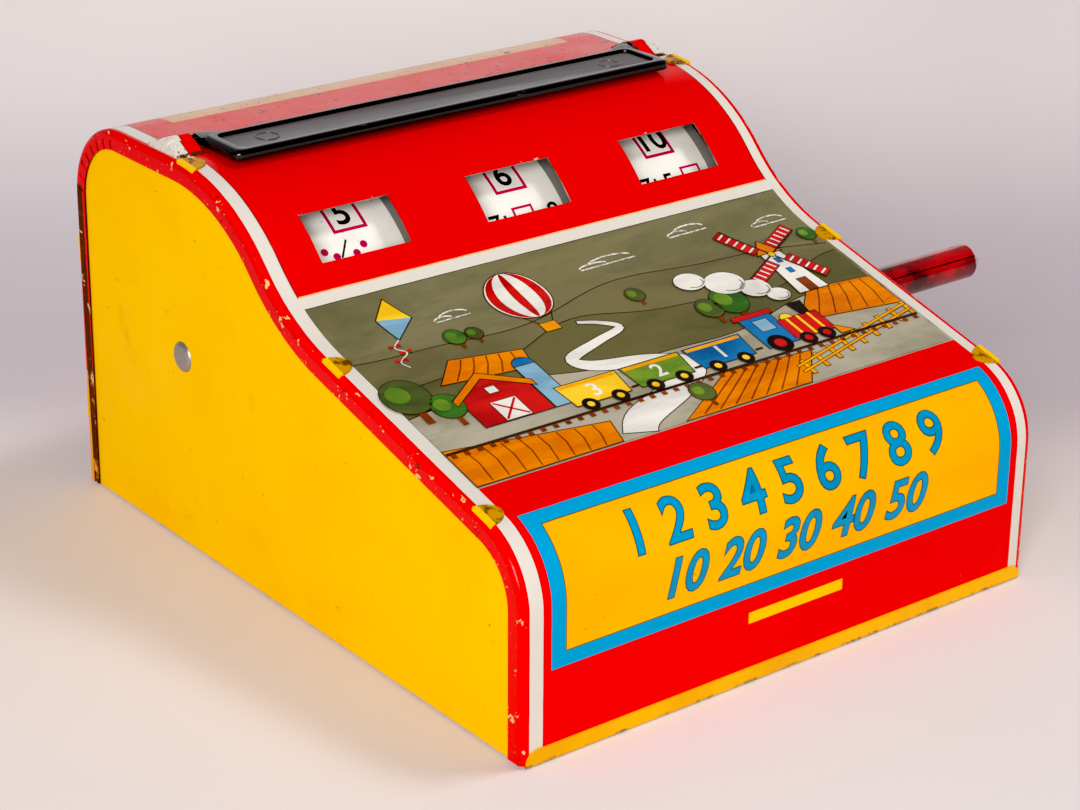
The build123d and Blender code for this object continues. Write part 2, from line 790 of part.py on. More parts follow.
def helix_tangent(turned):
    """Direction of the wire after an angle in degrees from its start."""
    across = polar(coil_radius, coil_start_angle - turned - 90)
    return Vector(coil_pitch / (2 * pi), across.X, across.Y).normalized()


def biarc_joint(start, end, start_tangent, end_tangent):
    """Point where two arcs meet that leave the start and reach the end along the tangents."""
    chord = end - start
    both = start_tangent + end_tangent
    spread = 2 * (1 - start_tangent.dot(end_tangent))
    along = chord.dot(both)
    reach = (sqrt(along**2 + spread * chord.dot(chord)) - along) / spread
    return (start + end + (start_tangent - end_tangent) * reach) * 0.5


with BuildPart() as lever_return_spring:
    with BuildLine() as wire_line:
        Line(helix_point(0) - helix_tangent(0) * leg_length, helix_point(0))
        for quarter in range(quarter_turns):
            start, end = helix_point(90 * quarter), helix_point(90 * (quarter + 1))
            leaving, arriving = helix_tangent(90 * quarter), helix_tangent(90 * (quarter + 1))
            joint = biarc_joint(start, end, leaving, arriving)
            first_arc = TangentArc(start, joint, tangent=leaving)
            TangentArc(joint, end, tangent=first_arc % 1)
        last_turn = 90 * quarter_turns
        Line(helix_point(last_turn), helix_point(last_turn) + helix_tangent(last_turn) * leg_length)
    with BuildSketch(wire_line.line ^ 0):
        Circle(wire_radius)
    sweep()
lever_return_spring.part.label = "lever_return_spring"
export_step(lever_return_spring.part, "parts/lever_return_spring.step")

step_angle = 15
coil_points = [helix_point(turned) for turned in range(0, 90 * quarter_turns + 1, step_angle)]
turn_steps = 360 // step_angle
least_gap = min(
    (first - second).length - wire_diameter
    for place, first in enumerate(coil_points)
    for second in coil_points[place + turn_steps // 2 :]
)
print(f"return spring: least gap between turns {least_gap:.2f} mm")

with BuildPart() as spring_peg:
    with BuildSketch(axle_plane(plate_left)):
        with Locations(peg_place):
            Circle(peg_radius)
    extrude(amount=coil_left + 2 * wire_diameter - plate_left)
    chamfer(spring_peg.faces().sort_by(Axis.X)[-1].edges(), wire_radius / 2)
spring_peg.part.label = "spring_peg"
export_step(spring_peg.part, "parts/spring_peg.step")

with BuildPart() as spring_anchor_stud:
    with BuildSketch(axle_plane(panel_outer)):
        with Locations(anchor_place):
            Circle(stud_head_radius)
    extrude(amount=rivet_head_height)
    chamfer(spring_anchor_stud.faces().sort_by(Axis.X)[-1].edges(), rivet_head_height / 2)
    with BuildSketch(axle_plane(panel_outer)):
        with Locations(anchor_place):
            Circle(peg_radius)
    extrude(amount=coil_right - 2 * wire_diameter - panel_outer)
spring_anchor_stud.part.label = "spring_anchor_stud"
export_step(spring_anchor_stud.part, "parts/spring_anchor_stud.step")

with BuildPart() as lever_stop_studs:
    with BuildSketch(axle_plane(panel_outer)):
        with Locations(*stop_places):
            Circle(stud_head_radius)
    extrude(amount=rivet_head_height)
    heads = lever_stop_studs.faces().filter_by(Axis.X).group_by(Axis.X)[-1]
    chamfer(heads.edges(), rivet_head_height / 2)
    with BuildSketch(axle_plane(panel_outer)):
        with Locations(*stop_places):
            Circle(stop_radius)
    extrude(amount=plate_left - hub_lip - panel_outer)
lever_stop_studs.part.label = "lever_stop_studs"
export_step(lever_stop_studs.part, "parts/lever_stop_studs.step")

# Lever arm: one strip, bent outward at the front as the tongue inside the grip
grip_y = front_y + grip_from_front
grip_place = Vector(grip_y - axle_y, grip_height - axle_height)
strip_reach = arm_hub_radius + axle_y - grip_y + arm_thickness / 2
with BuildPart() as lever_arm:
    with BuildSketch(Plane.XY.offset(grip_height - 2 * arm_hub_radius)) as strip:
        with Locations((arm_left, grip_y - arm_thickness / 2)):
            Rectangle(arm_thickness, strip_reach, align=(Align.MIN, Align.MIN))
            Rectangle(tongue_length, arm_thickness, align=(Align.MIN, Align.MIN))
        outer_corner = strip.vertices().sort_by_distance((arm_left, grip_y))[0]
        fillet(outer_corner, arm_bend_radius + arm_thickness)
        inner_corner = strip.vertices().sort_by_distance((arm_right, grip_y + arm_thickness / 2))[0]
        fillet(inner_corner, arm_bend_radius)
    extrude(amount=4 * arm_hub_radius)
    with BuildSketch(axle_plane(arm_left)):
        Circle(arm_hub_radius)
        with Locations(grip_place):
            Circle(arm_tip_half_width)
        make_hull()
        Circle(hub_radius, mode=Mode.SUBTRACT)
    extrude(amount=tongue_length, mode=Mode.INTERSECT)
lever_arm.part.label = "lever_arm"
export_step(lever_arm.part, "parts/lever_arm.step")

# Grip: rolled sheet with a seam, its end folded shut over a crease on the seam's side
grip_left = arm_right + grip_gap
nose_start = grip_end - grip_nose_length


def grip_plane(x, drop=0.0):
    """Plane across the grip, with its local x turned from the user's side up to the seam."""
    along = (0, -cos(radians(seam_angle)), sin(radians(seam_angle)))
    return Plane(origin=(x, grip_y, grip_height - drop), x_dir=along, z_dir=(-1, 0, 0))


def grip_form(inset):
    """Solid of the grip's tube and folded nose, moved inward by the inset."""
    with BuildPart() as form:
        with BuildSketch(grip_plane(grip_left)):
            Circle(grip_radius - inset)
        extrude(amount=grip_left - nose_start)
        with BuildSketch(grip_plane(nose_start)):
            Circle(grip_radius - inset)
        with BuildSketch(grip_plane(grip_end - inset, grip_tip_drop)):
            Rectangle(grip_tip_width, grip_tip_width, rotation=45)
        loft()
    return form.part


with BuildPart() as lever_grip:
    add(grip_form(0))
    add(grip_form(grip_sheet), mode=Mode.SUBTRACT)
    with BuildSketch(grip_plane(grip_left)):
        with Locations((grip_radius, 0)):
            Rectangle(4 * grip_sheet, seam_width)
    extrude(amount=grip_left - nose_start, mode=Mode.SUBTRACT)
    with BuildSketch(grip_plane(nose_start)):
        with Locations((grip_radius / 2, 0)):
            Rectangle(grip_radius, seam_width)
    extrude(amount=-grip_nose_length, mode=Mode.SUBTRACT)
    with BuildSketch(grip_plane(nose_start + crease_width / 2)):
        Circle(grip_radius)
        Circle(grip_radius - crease_depth, mode=Mode.SUBTRACT)
        with Locations((-grip_radius, 0)):
            Rectangle(2 * grip_radius, 2 * grip_radius, mode=Mode.SUBTRACT)
    extrude(amount=crease_width, mode=Mode.SUBTRACT)
lever_grip.part.label = "lever_grip"
export_step(lever_grip.part, "parts/lever_grip.step")

# Drag spring: leaf on the base plate that rubs under the drum
drag_rise = axle_height - core_radius - drag_gap - leaf_thickness / 2
foot_z = sheet + leaf_thickness / 2
foot_left = drag_right - drag_foot
pad_right = foot_left - drag_run
with BuildPart() as drum_drag_spring:
    with BuildSketch(Plane.XZ.offset(-axle_y - drag_width / 2)):
        with BuildLine():
            FilletPolyline(
                (drag_right, foot_z),
                (foot_left, foot_z),
                (pad_right, drag_rise),
                (pad_right - drag_pad, drag_rise),
                radius=drag_bend_radius,
            )
        trace(line_width=leaf_thickness)
    extrude(amount=drag_width)
    with Locations((rivet_x, axle_y, foot_z)):
        Hole(drag_rivet_radius)
drum_drag_spring.part.label = "drum_drag_spring"
export_step(drum_drag_spring.part, "parts/drum_drag_spring.step")

with BuildPart() as drag_spring_rivet:
    with BuildSketch(Plane(origin=(rivet_x, axle_y, 0), x_dir=(1, 0, 0), z_dir=(0, -1, 0))):
        with BuildLine():
            head_foot = sheet + leaf_thickness
            Polyline(
                (0, 0),
                (drag_rivet_head_radius, 0),
                (drag_rivet_radius, sheet),
                (drag_rivet_radius, head_foot),
                (drag_rivet_head_radius, head_foot),
                (drag_rivet_radius, head_foot + rivet_head_height),
                (0, head_foot + rivet_head_height),
                close=True,
            )
        make_face()
    revolve(axis=Axis((rivet_x, axle_y, 0), (0, 0, 1)))
drag_spring_rivet.part.label = "drag_spring_rivet"
export_step(drag_spring_rivet.part, "parts/drag_spring_rivet.step")
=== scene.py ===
"""Looks of the toy adding machine: printed tin, moulded flap, number bands and wear.

The CAD nodes keep their shapes and get procedural materials here. The lithographed picture, the
numerals and the print on the drum are thin inks laid on the tin. The flap's tray and the ears'
domes are built here in their full shape. Lengths on the object are in millimetres until they reach
a mesh or a shader. The paper, the lights and the camera are in metres.
"""

from math import cos, pi, radians, sin, sqrt

import bmesh
import bpy
from mathutils import Matrix, Vector


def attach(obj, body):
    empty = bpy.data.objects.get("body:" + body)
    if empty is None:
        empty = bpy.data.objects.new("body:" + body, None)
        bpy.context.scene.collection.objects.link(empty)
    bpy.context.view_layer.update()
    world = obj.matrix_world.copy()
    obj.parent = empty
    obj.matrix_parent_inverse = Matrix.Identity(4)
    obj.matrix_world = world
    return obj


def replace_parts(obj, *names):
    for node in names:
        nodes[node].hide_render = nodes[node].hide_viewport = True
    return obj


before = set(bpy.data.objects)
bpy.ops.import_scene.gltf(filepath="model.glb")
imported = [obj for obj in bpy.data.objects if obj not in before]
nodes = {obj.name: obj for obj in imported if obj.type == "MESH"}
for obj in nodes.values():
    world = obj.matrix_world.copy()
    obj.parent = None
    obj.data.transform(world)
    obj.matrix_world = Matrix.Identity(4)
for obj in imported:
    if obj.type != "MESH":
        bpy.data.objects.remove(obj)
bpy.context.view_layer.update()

MM = 0.001
BLACK_LEVEL = 0.02
CAD_EDGE = radians(32)
FORM_EDGE = radians(40)

# The case's side outline, as the CAD source has it, in points of distance from the front and height
CASE_DEPTH = 217.0
HALF_DEPTH = CASE_DEPTH / 2
NOSE_RADIUS = 21.4
FRONT_WALL = 41.6
SLOPE = radians(15.27)
VALLEY_RADIUS = 60.0
HUMP_RADIUS = 58.0
AXLE = Vector((158.0, 59.4))
NOSE = Vector((NOSE_RADIUS, FRONT_WALL))
SLOPE_ALONG = Vector((cos(SLOPE), sin(SLOPE)))
SLOPE_UP = Vector((-sin(SLOPE), cos(SLOPE)))
VALLEY_RISE = NOSE_RADIUS + VALLEY_RADIUS
NOSE_TO_AXLE = AXLE - NOSE
VALLEY_RUN = NOSE_TO_AXLE.dot(SLOPE_ALONG) - sqrt(
    (HUMP_RADIUS + VALLEY_RADIUS) ** 2 - (NOSE_TO_AXLE.dot(SLOPE_UP) - VALLEY_RISE) ** 2
)
VALLEY = NOSE + SLOPE_ALONG * VALLEY_RUN + SLOPE_UP * VALLEY_RISE
NOSE_LENGTH = NOSE_RADIUS * (pi / 2 - SLOPE)
SLOPE_START = NOSE + SLOPE_UP * NOSE_RADIUS
INSIDE = (0.0, 0.02, 0.045)

# The number bands and the rows of their print, by the arc from the horizontal at the front
WHEEL_RADIUS = 50.0
WHEEL_STEP = 30.0
WHEEL_PITCH = 55.66
WHEEL_MIDDLES = {"left": -WHEEL_PITCH, "centre": 0.0, "right": WHEEL_PITCH}
ANSWER_ROW = 50.2
QUESTION_ROW = 35.2
FONT_SCALE = 1.4

# The print on the case, by distance from the middle, from the front and up the outline
PRINT_SHIFT = 0.6
PRINT_WOBBLE = 0.16
HUMP_FOOT = 84.0
STRIPE_INNER = 83.4
STRIPE_OUTER = 87.6
STRIPE_LIMIT = 87.3
STRIPE_SEAM = 0.3
STRIPE_WEAR = (20 * MM, 90 * MM)
PICTURE_FRONT = 26.5
PICTURE_REAR = 103.65
PICTURE_HALF = 83.4
PICTURE_EDGE = (PICTURE_REAR - 0.2, PICTURE_REAR + 1)
FLOOR_FADE = ((PICTURE_FRONT + 24) * MM, (PICTURE_FRONT + 44) * MM)
RAIL_REAR = 106.7
RAIL_LINE = 0.35
PICTURE_START = NOSE_LENGTH + (PICTURE_FRONT - SLOPE_START.x) / cos(SLOPE)

# The top, faded and with a painted sheen, its tan band and the orange foot of the rear wall
TOP_HEIGHT = 100.0
TOP_FRONT = 166.0
TOP_HALF = 86.9
TAN_BAND = (188.0, 199.0)
TAN_HALF = 72.0
FOOT_FRONT = 200.0
FOOT_HEIGHT = 37.0
REAR_END = 230.0

# The title's panels as half width, reach from the front and lower edge, and the bare strip
TITLE_FRAME = (80.8, 14.2, 25.0)
TITLE_LINE = (76.4, 10.5, 29.0)
TITLE_FIELD = (76.1, 10.2, 29.3)
NOSE_START = -5.0
STRIP_ACROSS = (-14.8, 18.6)
STRIP_UP = (17.3, 20.5)

# Where the tin is worn, and where shade is painted in the rear flange's gap: its bends, faces and rear
# flange from the middle, and over the windows
BEND_INNER = 88.1
FACE_INNER = 88.9
FLANGE_INNER = 89.2
CASE_SIDE = 90.0
REAR_SHADED_SEAM = (CASE_DEPTH - 6.2, CASE_DEPTH - 3.0)
REAR_SHADED_SEAM_TOP = 96.0
WINDOW_HALF = 14.73
SILL = (124.2, 125.3)
PANEL_INNER = 87.4
HEM_INNER = 108.4
HEM_WEAR = (1.4 * MM, 0.2 * MM)
GRIP_NOSE = (138.5, 141.5)

# The flap and the ears over its pins, from the middle, from the front and from the base
CASE_TOP = 117.4
FLAP_HALF = 77.4
FLAP_FRONT = 144.0
FLAP_REAR = 163.2
FLAP_BOTTOM = 118.0
FLAP_TOP = 121.0
FLAP_FLOOR = 120.1
FLAP_CORNER = 3.0
FLAP_RIM = (3.8, 2.6, 1.9)
RECESS_MARGIN = 0.4
RECESS_BOTTOM = FLAP_FLOOR - 0.3
MARK_ACROSS = 61.0
PIN = Vector((166.0, 119.4))
PIN_RADIUS = 1.3
PIN_END = 82.7
LUG_RADIUS = 1.7
LUG_FOOT = 66.0
EAR_INNER = 79.1
EAR_OUTER = 87.6
EAR_ROUND = 4.0
EAR_FRONT = 157.8
EAR_REAR = 175.0
EAR_ARCH = 2.0
EAR_BLEND = 6
EAR_LIP = 1.2
EAR_MOUTH = (79.0, 79.5)
EAR_STRIPE = (83.6, 88.5)
EAR_LINE = (83.4, 83.65)

# The picture's edges, and the layers of its inks over the tin
LAND_HALF = 82.7
FIELD_HALF = 82.6
LAND_FOOT = 0.5
SHARPEST_CORNER = 0.35
LAND_LAYER = 1
CLOUD_LAYER = 5
ROAD_LAYER = 7
SKY_LAYER = 8
FIELD_LAYER = 9
FENCE_LAYER = 12
SLEEPER_LAYER = 15
BUILDING_LAYER = 16
WAGON_LAYER = 18
TREE_LAYER = 18
STEAM_LAYER = 22

# The photograph's camera, and the way that it looks across the floor
CAMERA_PLACE = (-0.44894, -0.57686, 0.34999)
CAMERA_RIGHT = Vector((0.79064, -0.61225, 0.00603))
CAMERA_UP = Vector((0.23548, 0.31315, 0.92005))
CAMERA_LENS = 91.35
VIEW_TURN = radians(37.9)
VIEW_WAY = (0.614, 0.789)

# The paper: a floor, a bend up behind the object and a crest
SWEEP_HALF = 2.6
SWEEP_START = 0.16
SWEEP_BEND = 0.42
SWEEP_CREST = 0.1
SWEEP_SLOPE = radians(40)
SWEEP_STEPS = 8
SWEEP_DROP = 0.0002


def linear(red, green, blue):
    """Colour for a shader from 8-bit screen values."""
    def channel(value):
        value /= 255
        return value / 12.92 if value <= 0.04045 else ((value + 0.055) / 1.055) ** 2.4
    return (channel(red), channel(green), channel(blue), 1.0)


# Materials

class Finish:
    """A procedural material: a Principled shader and the nodes that feed it."""

    def __init__(self, name, **settings):
        self.data = bpy.data.materials.new(name)
        self.data.use_nodes = True
        self.tree = self.data.node_tree
        self.shader = self.tree.nodes["Principled BSDF"]
        for socket, value in settings.items():
            self.shader.inputs[socket.replace("_", " ")].default_value = value
        coordinates = self.tree.nodes.new("ShaderNodeTexCoord")
        self.place = coordinates.outputs["Object"]
        self.normal = coordinates.outputs["Normal"]
        parts = self.tree.nodes.new("ShaderNodeSeparateXYZ")
        self.tree.links.new(self.place, parts.inputs[0])
        self.x, self.y, self.z = parts.outputs

    @property
    def reach(self):
        """Distance from the middle, to either side."""
        return self.math("ABSOLUTE", self.x)

    @property
    def front(self):
        """Distance from the case's front."""
        return self.math("ADD", self.y, HALF_DEPTH * MM)

    def feed(self, socket, value):
        """Links a socket to another, or sets its value."""
        if isinstance(value, bpy.types.NodeSocket):
            self.tree.links.new(value, socket)
        else:
            socket.default_value = value

    def math(self, operation, *values):
        node = self.tree.nodes.new("ShaderNodeMath")
        node.operation = operation
        for socket, value in zip(node.inputs, values):
            self.feed(socket, value)
        return node.outputs[0]

    def vector_math(self, operation, first, second, output="Vector"):
        node = self.tree.nodes.new("ShaderNodeVectorMath")
        node.operation = operation
        self.feed(node.inputs[0], first)
        self.feed(node.inputs[1], second)
        return node.outputs[output]

    def above(self, value, limit):
        """1 where a length in metres is more than a limit in millimetres."""
        return self.math("GREATER_THAN", value, limit * MM)

    def below(self, value, limit):
        """1 where a length in metres is less than a limit in millimetres."""
        return self.math("LESS_THAN", value, limit * MM)

    def within(self, value, low, high):
        """1 where a length in metres lies between two in millimetres."""
        return self.math("COMPARE", value, (low + high) / 2 * MM, (high - low) / 2 * MM)

    def both(self, *masks):
        result = masks[0]
        for mask in masks[1:]:
            result = self.math("MULTIPLY", result, mask)
        return result

    def either(self, *masks):
        result = masks[0]
        for mask in masks[1:]:
            result = self.math("MAXIMUM", result, mask)
        return result

    def noise(self, scale, detail=3.0, roughness=0.6, stretch=None, warp=0.0):
        """Noise in which one unit of scale is a feature per metre."""
        where = self.place
        if stretch:
            mapping = self.tree.nodes.new("ShaderNodeMapping")
            mapping.inputs["Scale"].default_value = stretch
            self.tree.links.new(where, mapping.inputs[0])
            where = mapping.outputs[0]
        node = self.tree.nodes.new("ShaderNodeTexNoise")
        node.inputs["Scale"].default_value = scale
        node.inputs["Detail"].default_value = detail
        node.inputs["Roughness"].default_value = roughness
        node.inputs["Distortion"].default_value = warp
        self.tree.links.new(where, node.inputs["Vector"])
        return node.outputs["Fac"]

    def ramp(self, value, low, high, start=0.0, end=1.0):
        """A value spread from low..high onto start..end, with soft ends."""
        node = self.tree.nodes.new("ShaderNodeMapRange")
        node.interpolation_type = "SMOOTHSTEP"
        for socket, number in zip(node.inputs, (value, low, high, start, end)):
            self.feed(socket, number)
        return node.outputs[0]

    def mix(self, factor, base, top, blend="MIX"):
        node = self.tree.nodes.new("ShaderNodeMix")
        node.data_type = "RGBA"
        node.blend_type = blend
        self.feed(node.inputs[0], factor)
        self.feed(node.inputs[6], base)
        self.feed(node.inputs[7], top)
        return node.outputs[2]

    def blend(self, factor, base, top):
        """Mix of two plain values."""
        node = self.tree.nodes.new("ShaderNodeMix")
        self.feed(node.inputs[0], factor)
        self.feed(node.inputs[2], base)
        self.feed(node.inputs[3], top)
        return node.outputs[0]

    def set(self, **sockets):
        for socket, value in sockets.items():
            self.feed(self.shader.inputs[socket.replace("_", " ")], value)

    def bump(self, height, depth):
        """Relief from a height of 0 to 1, with its depth in millimetres."""
        node = self.tree.nodes.new("ShaderNodeBump")
        node.inputs["Distance"].default_value = depth * MM
        self.feed(node.inputs["Height"], height)
        self.tree.links.new(node.outputs[0], self.shader.inputs["Normal"])


RED = linear(232, 0, 2)
DEEP_RED = linear(218, 0, 2)
WHITE = linear(216, 209, 196)
YELLOW = linear(248, 192, 0)
GOLD = linear(254, 176, 0)
BLUE = linear(0, 152, 202)
BOARD = linear(116, 102, 62)
RUST = linear(84, 40, 18)
DARK = linear(30, 22, 16)
TIN = linear(168, 162, 152)
NICK = linear(226, 178, 120)


def case_litho():
    """Red case print with its stripes, frames and picture ground, worn to rust at the bends, with
    painted shade on the hump and at the flange edges.
    """
    m = Finish("case_print", Specular_IOR_Level=0.16, Coat_Weight=0.04, Coat_Roughness=0.1)
    wobble = m.math("MULTIPLY", m.math("SUBTRACT", m.noise(160, 1), 0.5), PRINT_WOBBLE * MM)
    off_middle = m.math("ABSOLUTE", m.math("SUBTRACT", m.x, PRINT_SHIFT * MM))
    side = m.math("ADD", off_middle, wobble)
    front = m.math("ADD", m.front, wobble)
    paint = m.mix(m.ramp(m.noise(9, 1, 0.5), 0.3, 0.8, 0.0, 0.5), RED, DEEP_RED)
    # Painted shade: above the hump's foot the red is made deeper in patches, as if less lit.
    painted_shade_on_hump = m.both(m.above(m.z, HUMP_FOOT), m.ramp(m.noise(9, 1), 0.2, 0.8, 0.7, 1.0))
    paint = m.mix(painted_shade_on_hump, paint, DEEP_RED)
    paint = rear_prints(m, paint, side, front)
    paint = stripes(m, paint, side, front)
    in_picture = m.both(m.below(side, PICTURE_HALF), m.within(front, PICTURE_FRONT, PICTURE_REAR))
    paint = m.mix(in_picture, paint, picture_ground(m, front))
    paint = title_field(m, paint, side, front)
    specks = m.ramp(m.noise(900, 2), 0.755, 0.79)
    paint = m.mix(specks, paint, linear(78, 48, 34))
    chips, paint = edge_wear(m, paint, front)
    inner = inner_side(m)
    bare = m.mix(m.ramp(m.noise(120, 4), 0.45, 0.7), TIN, linear(96, 74, 52))
    # Rust and painted shade: the inner face at the flange edges is dark brown, for the dark line
    # between flange and panel.
    bare = m.mix(m.above(m.reach, FACE_INNER), bare, linear(92, 44, 24))
    paint = m.mix(inner, paint, bare)
    smear = m.ramp(m.noise(40, 5, 0.6), 0.3, 0.8, 0.2, 0.34)
    m.set(Base_Color=paint, Roughness=m.blend(chips, smear, 0.7))
    m.set(Metallic=m.math("MULTIPLY", inner, 0.6))
    m.bump(m.math("SUBTRACT", m.noise(7, 1), m.math("MULTIPLY", chips, 0.06)), 0.8)
    return m.data


def rear_prints(m, paint, side, front):
    """The top behind the flap, faded and with a painted sheen, its tan band, and the orange foot of the
    rear wall.
    """
    upper = m.above(m.z, TOP_HEIGHT)
    top = m.both(upper, m.within(front, TOP_FRONT, REAR_END), m.below(side, TOP_HALF))
    # Faded print with a painted sheen: salmon patches over the top behind the flap.
    faded_with_sheen = m.both(top, m.ramp(m.noise(60, 5), 0.3, 0.8, 0.1, 0.45))
    paint = m.mix(faded_with_sheen, paint, linear(196, 124, 114))
    band = m.both(upper, m.within(front, *TAN_BAND), m.below(side, TAN_HALF))
    paint = m.mix(band, paint, m.mix(m.noise(90, 4), linear(222, 176, 128), linear(206, 154, 112)))
    grime = m.both(top, m.ramp(m.noise(420, 4, 0.7), 0.6, 0.66))
    paint = m.mix(grime, paint, linear(96, 34, 26))
    foot = m.both(m.within(front, FOOT_FRONT, REAR_END), m.below(m.z, FOOT_HEIGHT))
    return m.mix(foot, paint, linear(238, 150, 10))


def stripes(m, paint, side, front):
    """White stripes down both sides and across the top of the picture."""
    between = m.below(side, STRIPE_INNER)
    line = m.both(between, m.within(front, RAIL_REAR, RAIL_REAR + RAIL_LINE))
    paint = m.mix(line, paint, linear(244, 170, 110))
    seam = m.both(m.within(side, STRIPE_INNER - STRIPE_SEAM, STRIPE_INNER), m.above(m.z, HUMP_FOOT))
    paint = m.mix(seam, paint, linear(112, 14, 10))
    stripe = m.both(m.below(m.reach, STRIPE_LIMIT), m.within(side, STRIPE_INNER, STRIPE_OUTER))
    across = m.both(between, m.within(front, PICTURE_REAR, RAIL_REAR))
    worn = m.both(m.ramp(m.noise(520, 4, 0.75), 0.66, 0.7), m.ramp(m.y, *STRIPE_WEAR))
    white = m.mix(worn, WHITE, linear(96, 78, 62))
    return m.mix(m.either(stripe, across), paint, white)


def title_field(m, paint, side, front):
    """Blue frame with a golden field on the nose, and the bare yellow strip below it."""
    gold = m.mix(m.ramp(m.noise(14, 4, 0.55), 0.4, 0.7), GOLD, linear(250, 166, 0))
    panels = ((TITLE_FRAME, BLUE), (TITLE_LINE, linear(88, 82, 40)), (TITLE_FIELD, gold))
    for (half, rear, foot), colour in panels:
        here = m.both(m.below(side, half), m.within(front, NOSE_START, rear), m.above(m.z, foot))
        paint = m.mix(here, paint, colour)
    at_front = m.within(front, NOSE_START, -NOSE_START)
    strip = m.both(m.within(m.x, *STRIP_ACROSS), m.within(m.z, *STRIP_UP), at_front)
    return m.mix(strip, paint, YELLOW)


def edge_wear(m, paint, front):
    """Chips and nicks on the bends and over the windows, and rust with painted shade inside the rear
    flange.
    """
    bend = m.within(m.reach, BEND_INNER, CASE_SIDE)
    rust = m.both(bend, m.ramp(m.noise(240, 4, 0.75), 0.64, 0.67))
    nicks = m.both(bend, m.ramp(m.noise(330, 3, 0.7, stretch=(1, 0.6, 0.6)), 0.63, 0.655))
    face = m.within(m.reach, FACE_INNER, CASE_SIDE)
    nicks = m.either(nicks, m.both(face, m.ramp(m.noise(900, 3, 0.7), 0.68, 0.7)))
    flange = m.within(m.reach, FLANGE_INNER, CASE_SIDE)
    # Rust and painted shade: a dark band in the gap between the rear flange and the side panel.
    rear = m.both(flange, m.within(front, *REAR_SHADED_SEAM), m.below(m.z, REAR_SHADED_SEAM_TOP))
    seam = m.both(rear, m.ramp(m.noise(160, 4, 0.7), 0.3, 0.46))
    paint = m.mix(m.either(rust, seam), paint, RUST)
    paint = m.mix(nicks, paint, NICK)
    windows = [m.within(m.x, x - WINDOW_HALF, x + WINDOW_HALF) for x in WHEEL_MIDDLES.values()]
    sill = m.both(m.either(*windows), m.within(front, *SILL), m.ramp(m.noise(260, 4, 0.7), 0.62, 0.64))
    paint = m.mix(sill, paint, linear(226, 206, 190))
    return m.either(rust, nicks, seam), paint


def inner_side(m):
    """1 on the sheet's inner face, which is bare tin and looks towards a point inside the case."""
    outward = m.vector_math("SUBTRACT", m.place, INSIDE)
    return m.math("LESS_THAN", m.vector_math("DOT_PRODUCT", m.normal, outward, "Value"), 0.0)


def picture_ground(m, front):
    """Olive ground behind the picture's motifs, as brushed paint."""
    brushed = m.noise(34, 6, 0.7, stretch=(0.35, 1.6, 1), warp=0.6)
    board = m.mix(m.ramp(brushed, 0.35, 0.7), BOARD, linear(96, 88, 54))
    dusty = m.ramp(m.noise(22, 4, 0.6, stretch=(0.6, 1.4, 1)), 0.5, 0.8, 0, 0.35)
    board = m.mix(dusty, board, linear(146, 134, 98))
    wall = m.mix(m.ramp(brushed, 0.4, 0.65), linear(132, 130, 98), linear(106, 106, 78))
    floor = m.mix(m.ramp(brushed, 0.4, 0.6), linear(172, 164, 146), linear(138, 128, 112))
    ground = m.mix(m.ramp(front, *FLOOR_FADE), floor, m.mix(m.noise(8, 3), board, wall))
    return m.mix(m.within(front, *PICTURE_EDGE), ground, DARK)


def yellow_tin():
    """Yellow printed sheet, scuffed, with rust at the tabs that come through the case."""
    m = Finish("panel_yellow", Specular_IOR_Level=0.1)
    blotch = m.ramp(m.noise(26, 5, 0.6), 0.42, 0.75)
    paint = m.mix(blotch, YELLOW, linear(246, 184, 0))
    smudge = m.ramp(m.noise(45, 4, 0.6), 0.62, 0.78, 0, 0.4)
    paint = m.mix(smudge, paint, linear(200, 148, 8))
    scuff = m.ramp(m.noise(150, 4, 0.75, stretch=(1, 0.6, 1.5)), 0.67, 0.73, 0, 0.5)
    paint = m.mix(scuff, paint, linear(168, 118, 20))
    specks = m.ramp(m.noise(620, 2), 0.75, 0.78)
    paint = m.mix(specks, paint, linear(90, 62, 20))
    tab = m.below(m.reach, PANEL_INNER)
    paint = m.mix(tab, paint, linear(200, 142, 20))
    rust = m.both(tab, m.ramp(m.noise(330, 4, 0.7), 0.46, 0.62))
    paint = m.mix(rust, paint, linear(104, 62, 22))
    m.set(Base_Color=paint, Roughness=m.ramp(m.noise(60, 5), 0.3, 0.8, 0.3, 0.48))
    m.bump(m.math("ADD", m.noise(12, 2), m.math("MULTIPLY", m.noise(300, 3), 0.03)), 0.8)
    return m.data


def base_tin():
    """Yellow hem outside and bare tin plate below, rubbed along the edge."""
    m = Finish("base_yellow", Specular_IOR_Level=0.3)
    paint = m.mix(m.ramp(m.noise(30, 4), 0.4, 0.7), linear(242, 178, 0), linear(226, 160, 2))
    wear = m.both(m.ramp(m.z, *HEM_WEAR), m.ramp(m.noise(170, 4, 0.75), 0.5, 0.62))
    dirt = m.ramp(m.noise(420, 3, 0.7), 0.7, 0.74)
    paint = m.mix(m.either(wear, dirt), paint, linear(104, 76, 34))
    inside = m.both(m.within(m.y, -HEM_INNER, HEM_INNER), m.below(m.reach, PANEL_INNER))
    tin = m.mix(m.ramp(m.noise(80, 4), 0.4, 0.7), TIN, linear(130, 118, 100))
    paint = m.mix(inside, paint, tin)
    m.set(Base_Color=paint, Roughness=m.ramp(m.noise(70, 4), 0.3, 0.8, 0.3, 0.5))
    m.set(Metallic=m.math("MULTIPLY", inside, 0.85))
    m.bump(m.noise(40, 3), 0.3)
    return m.data


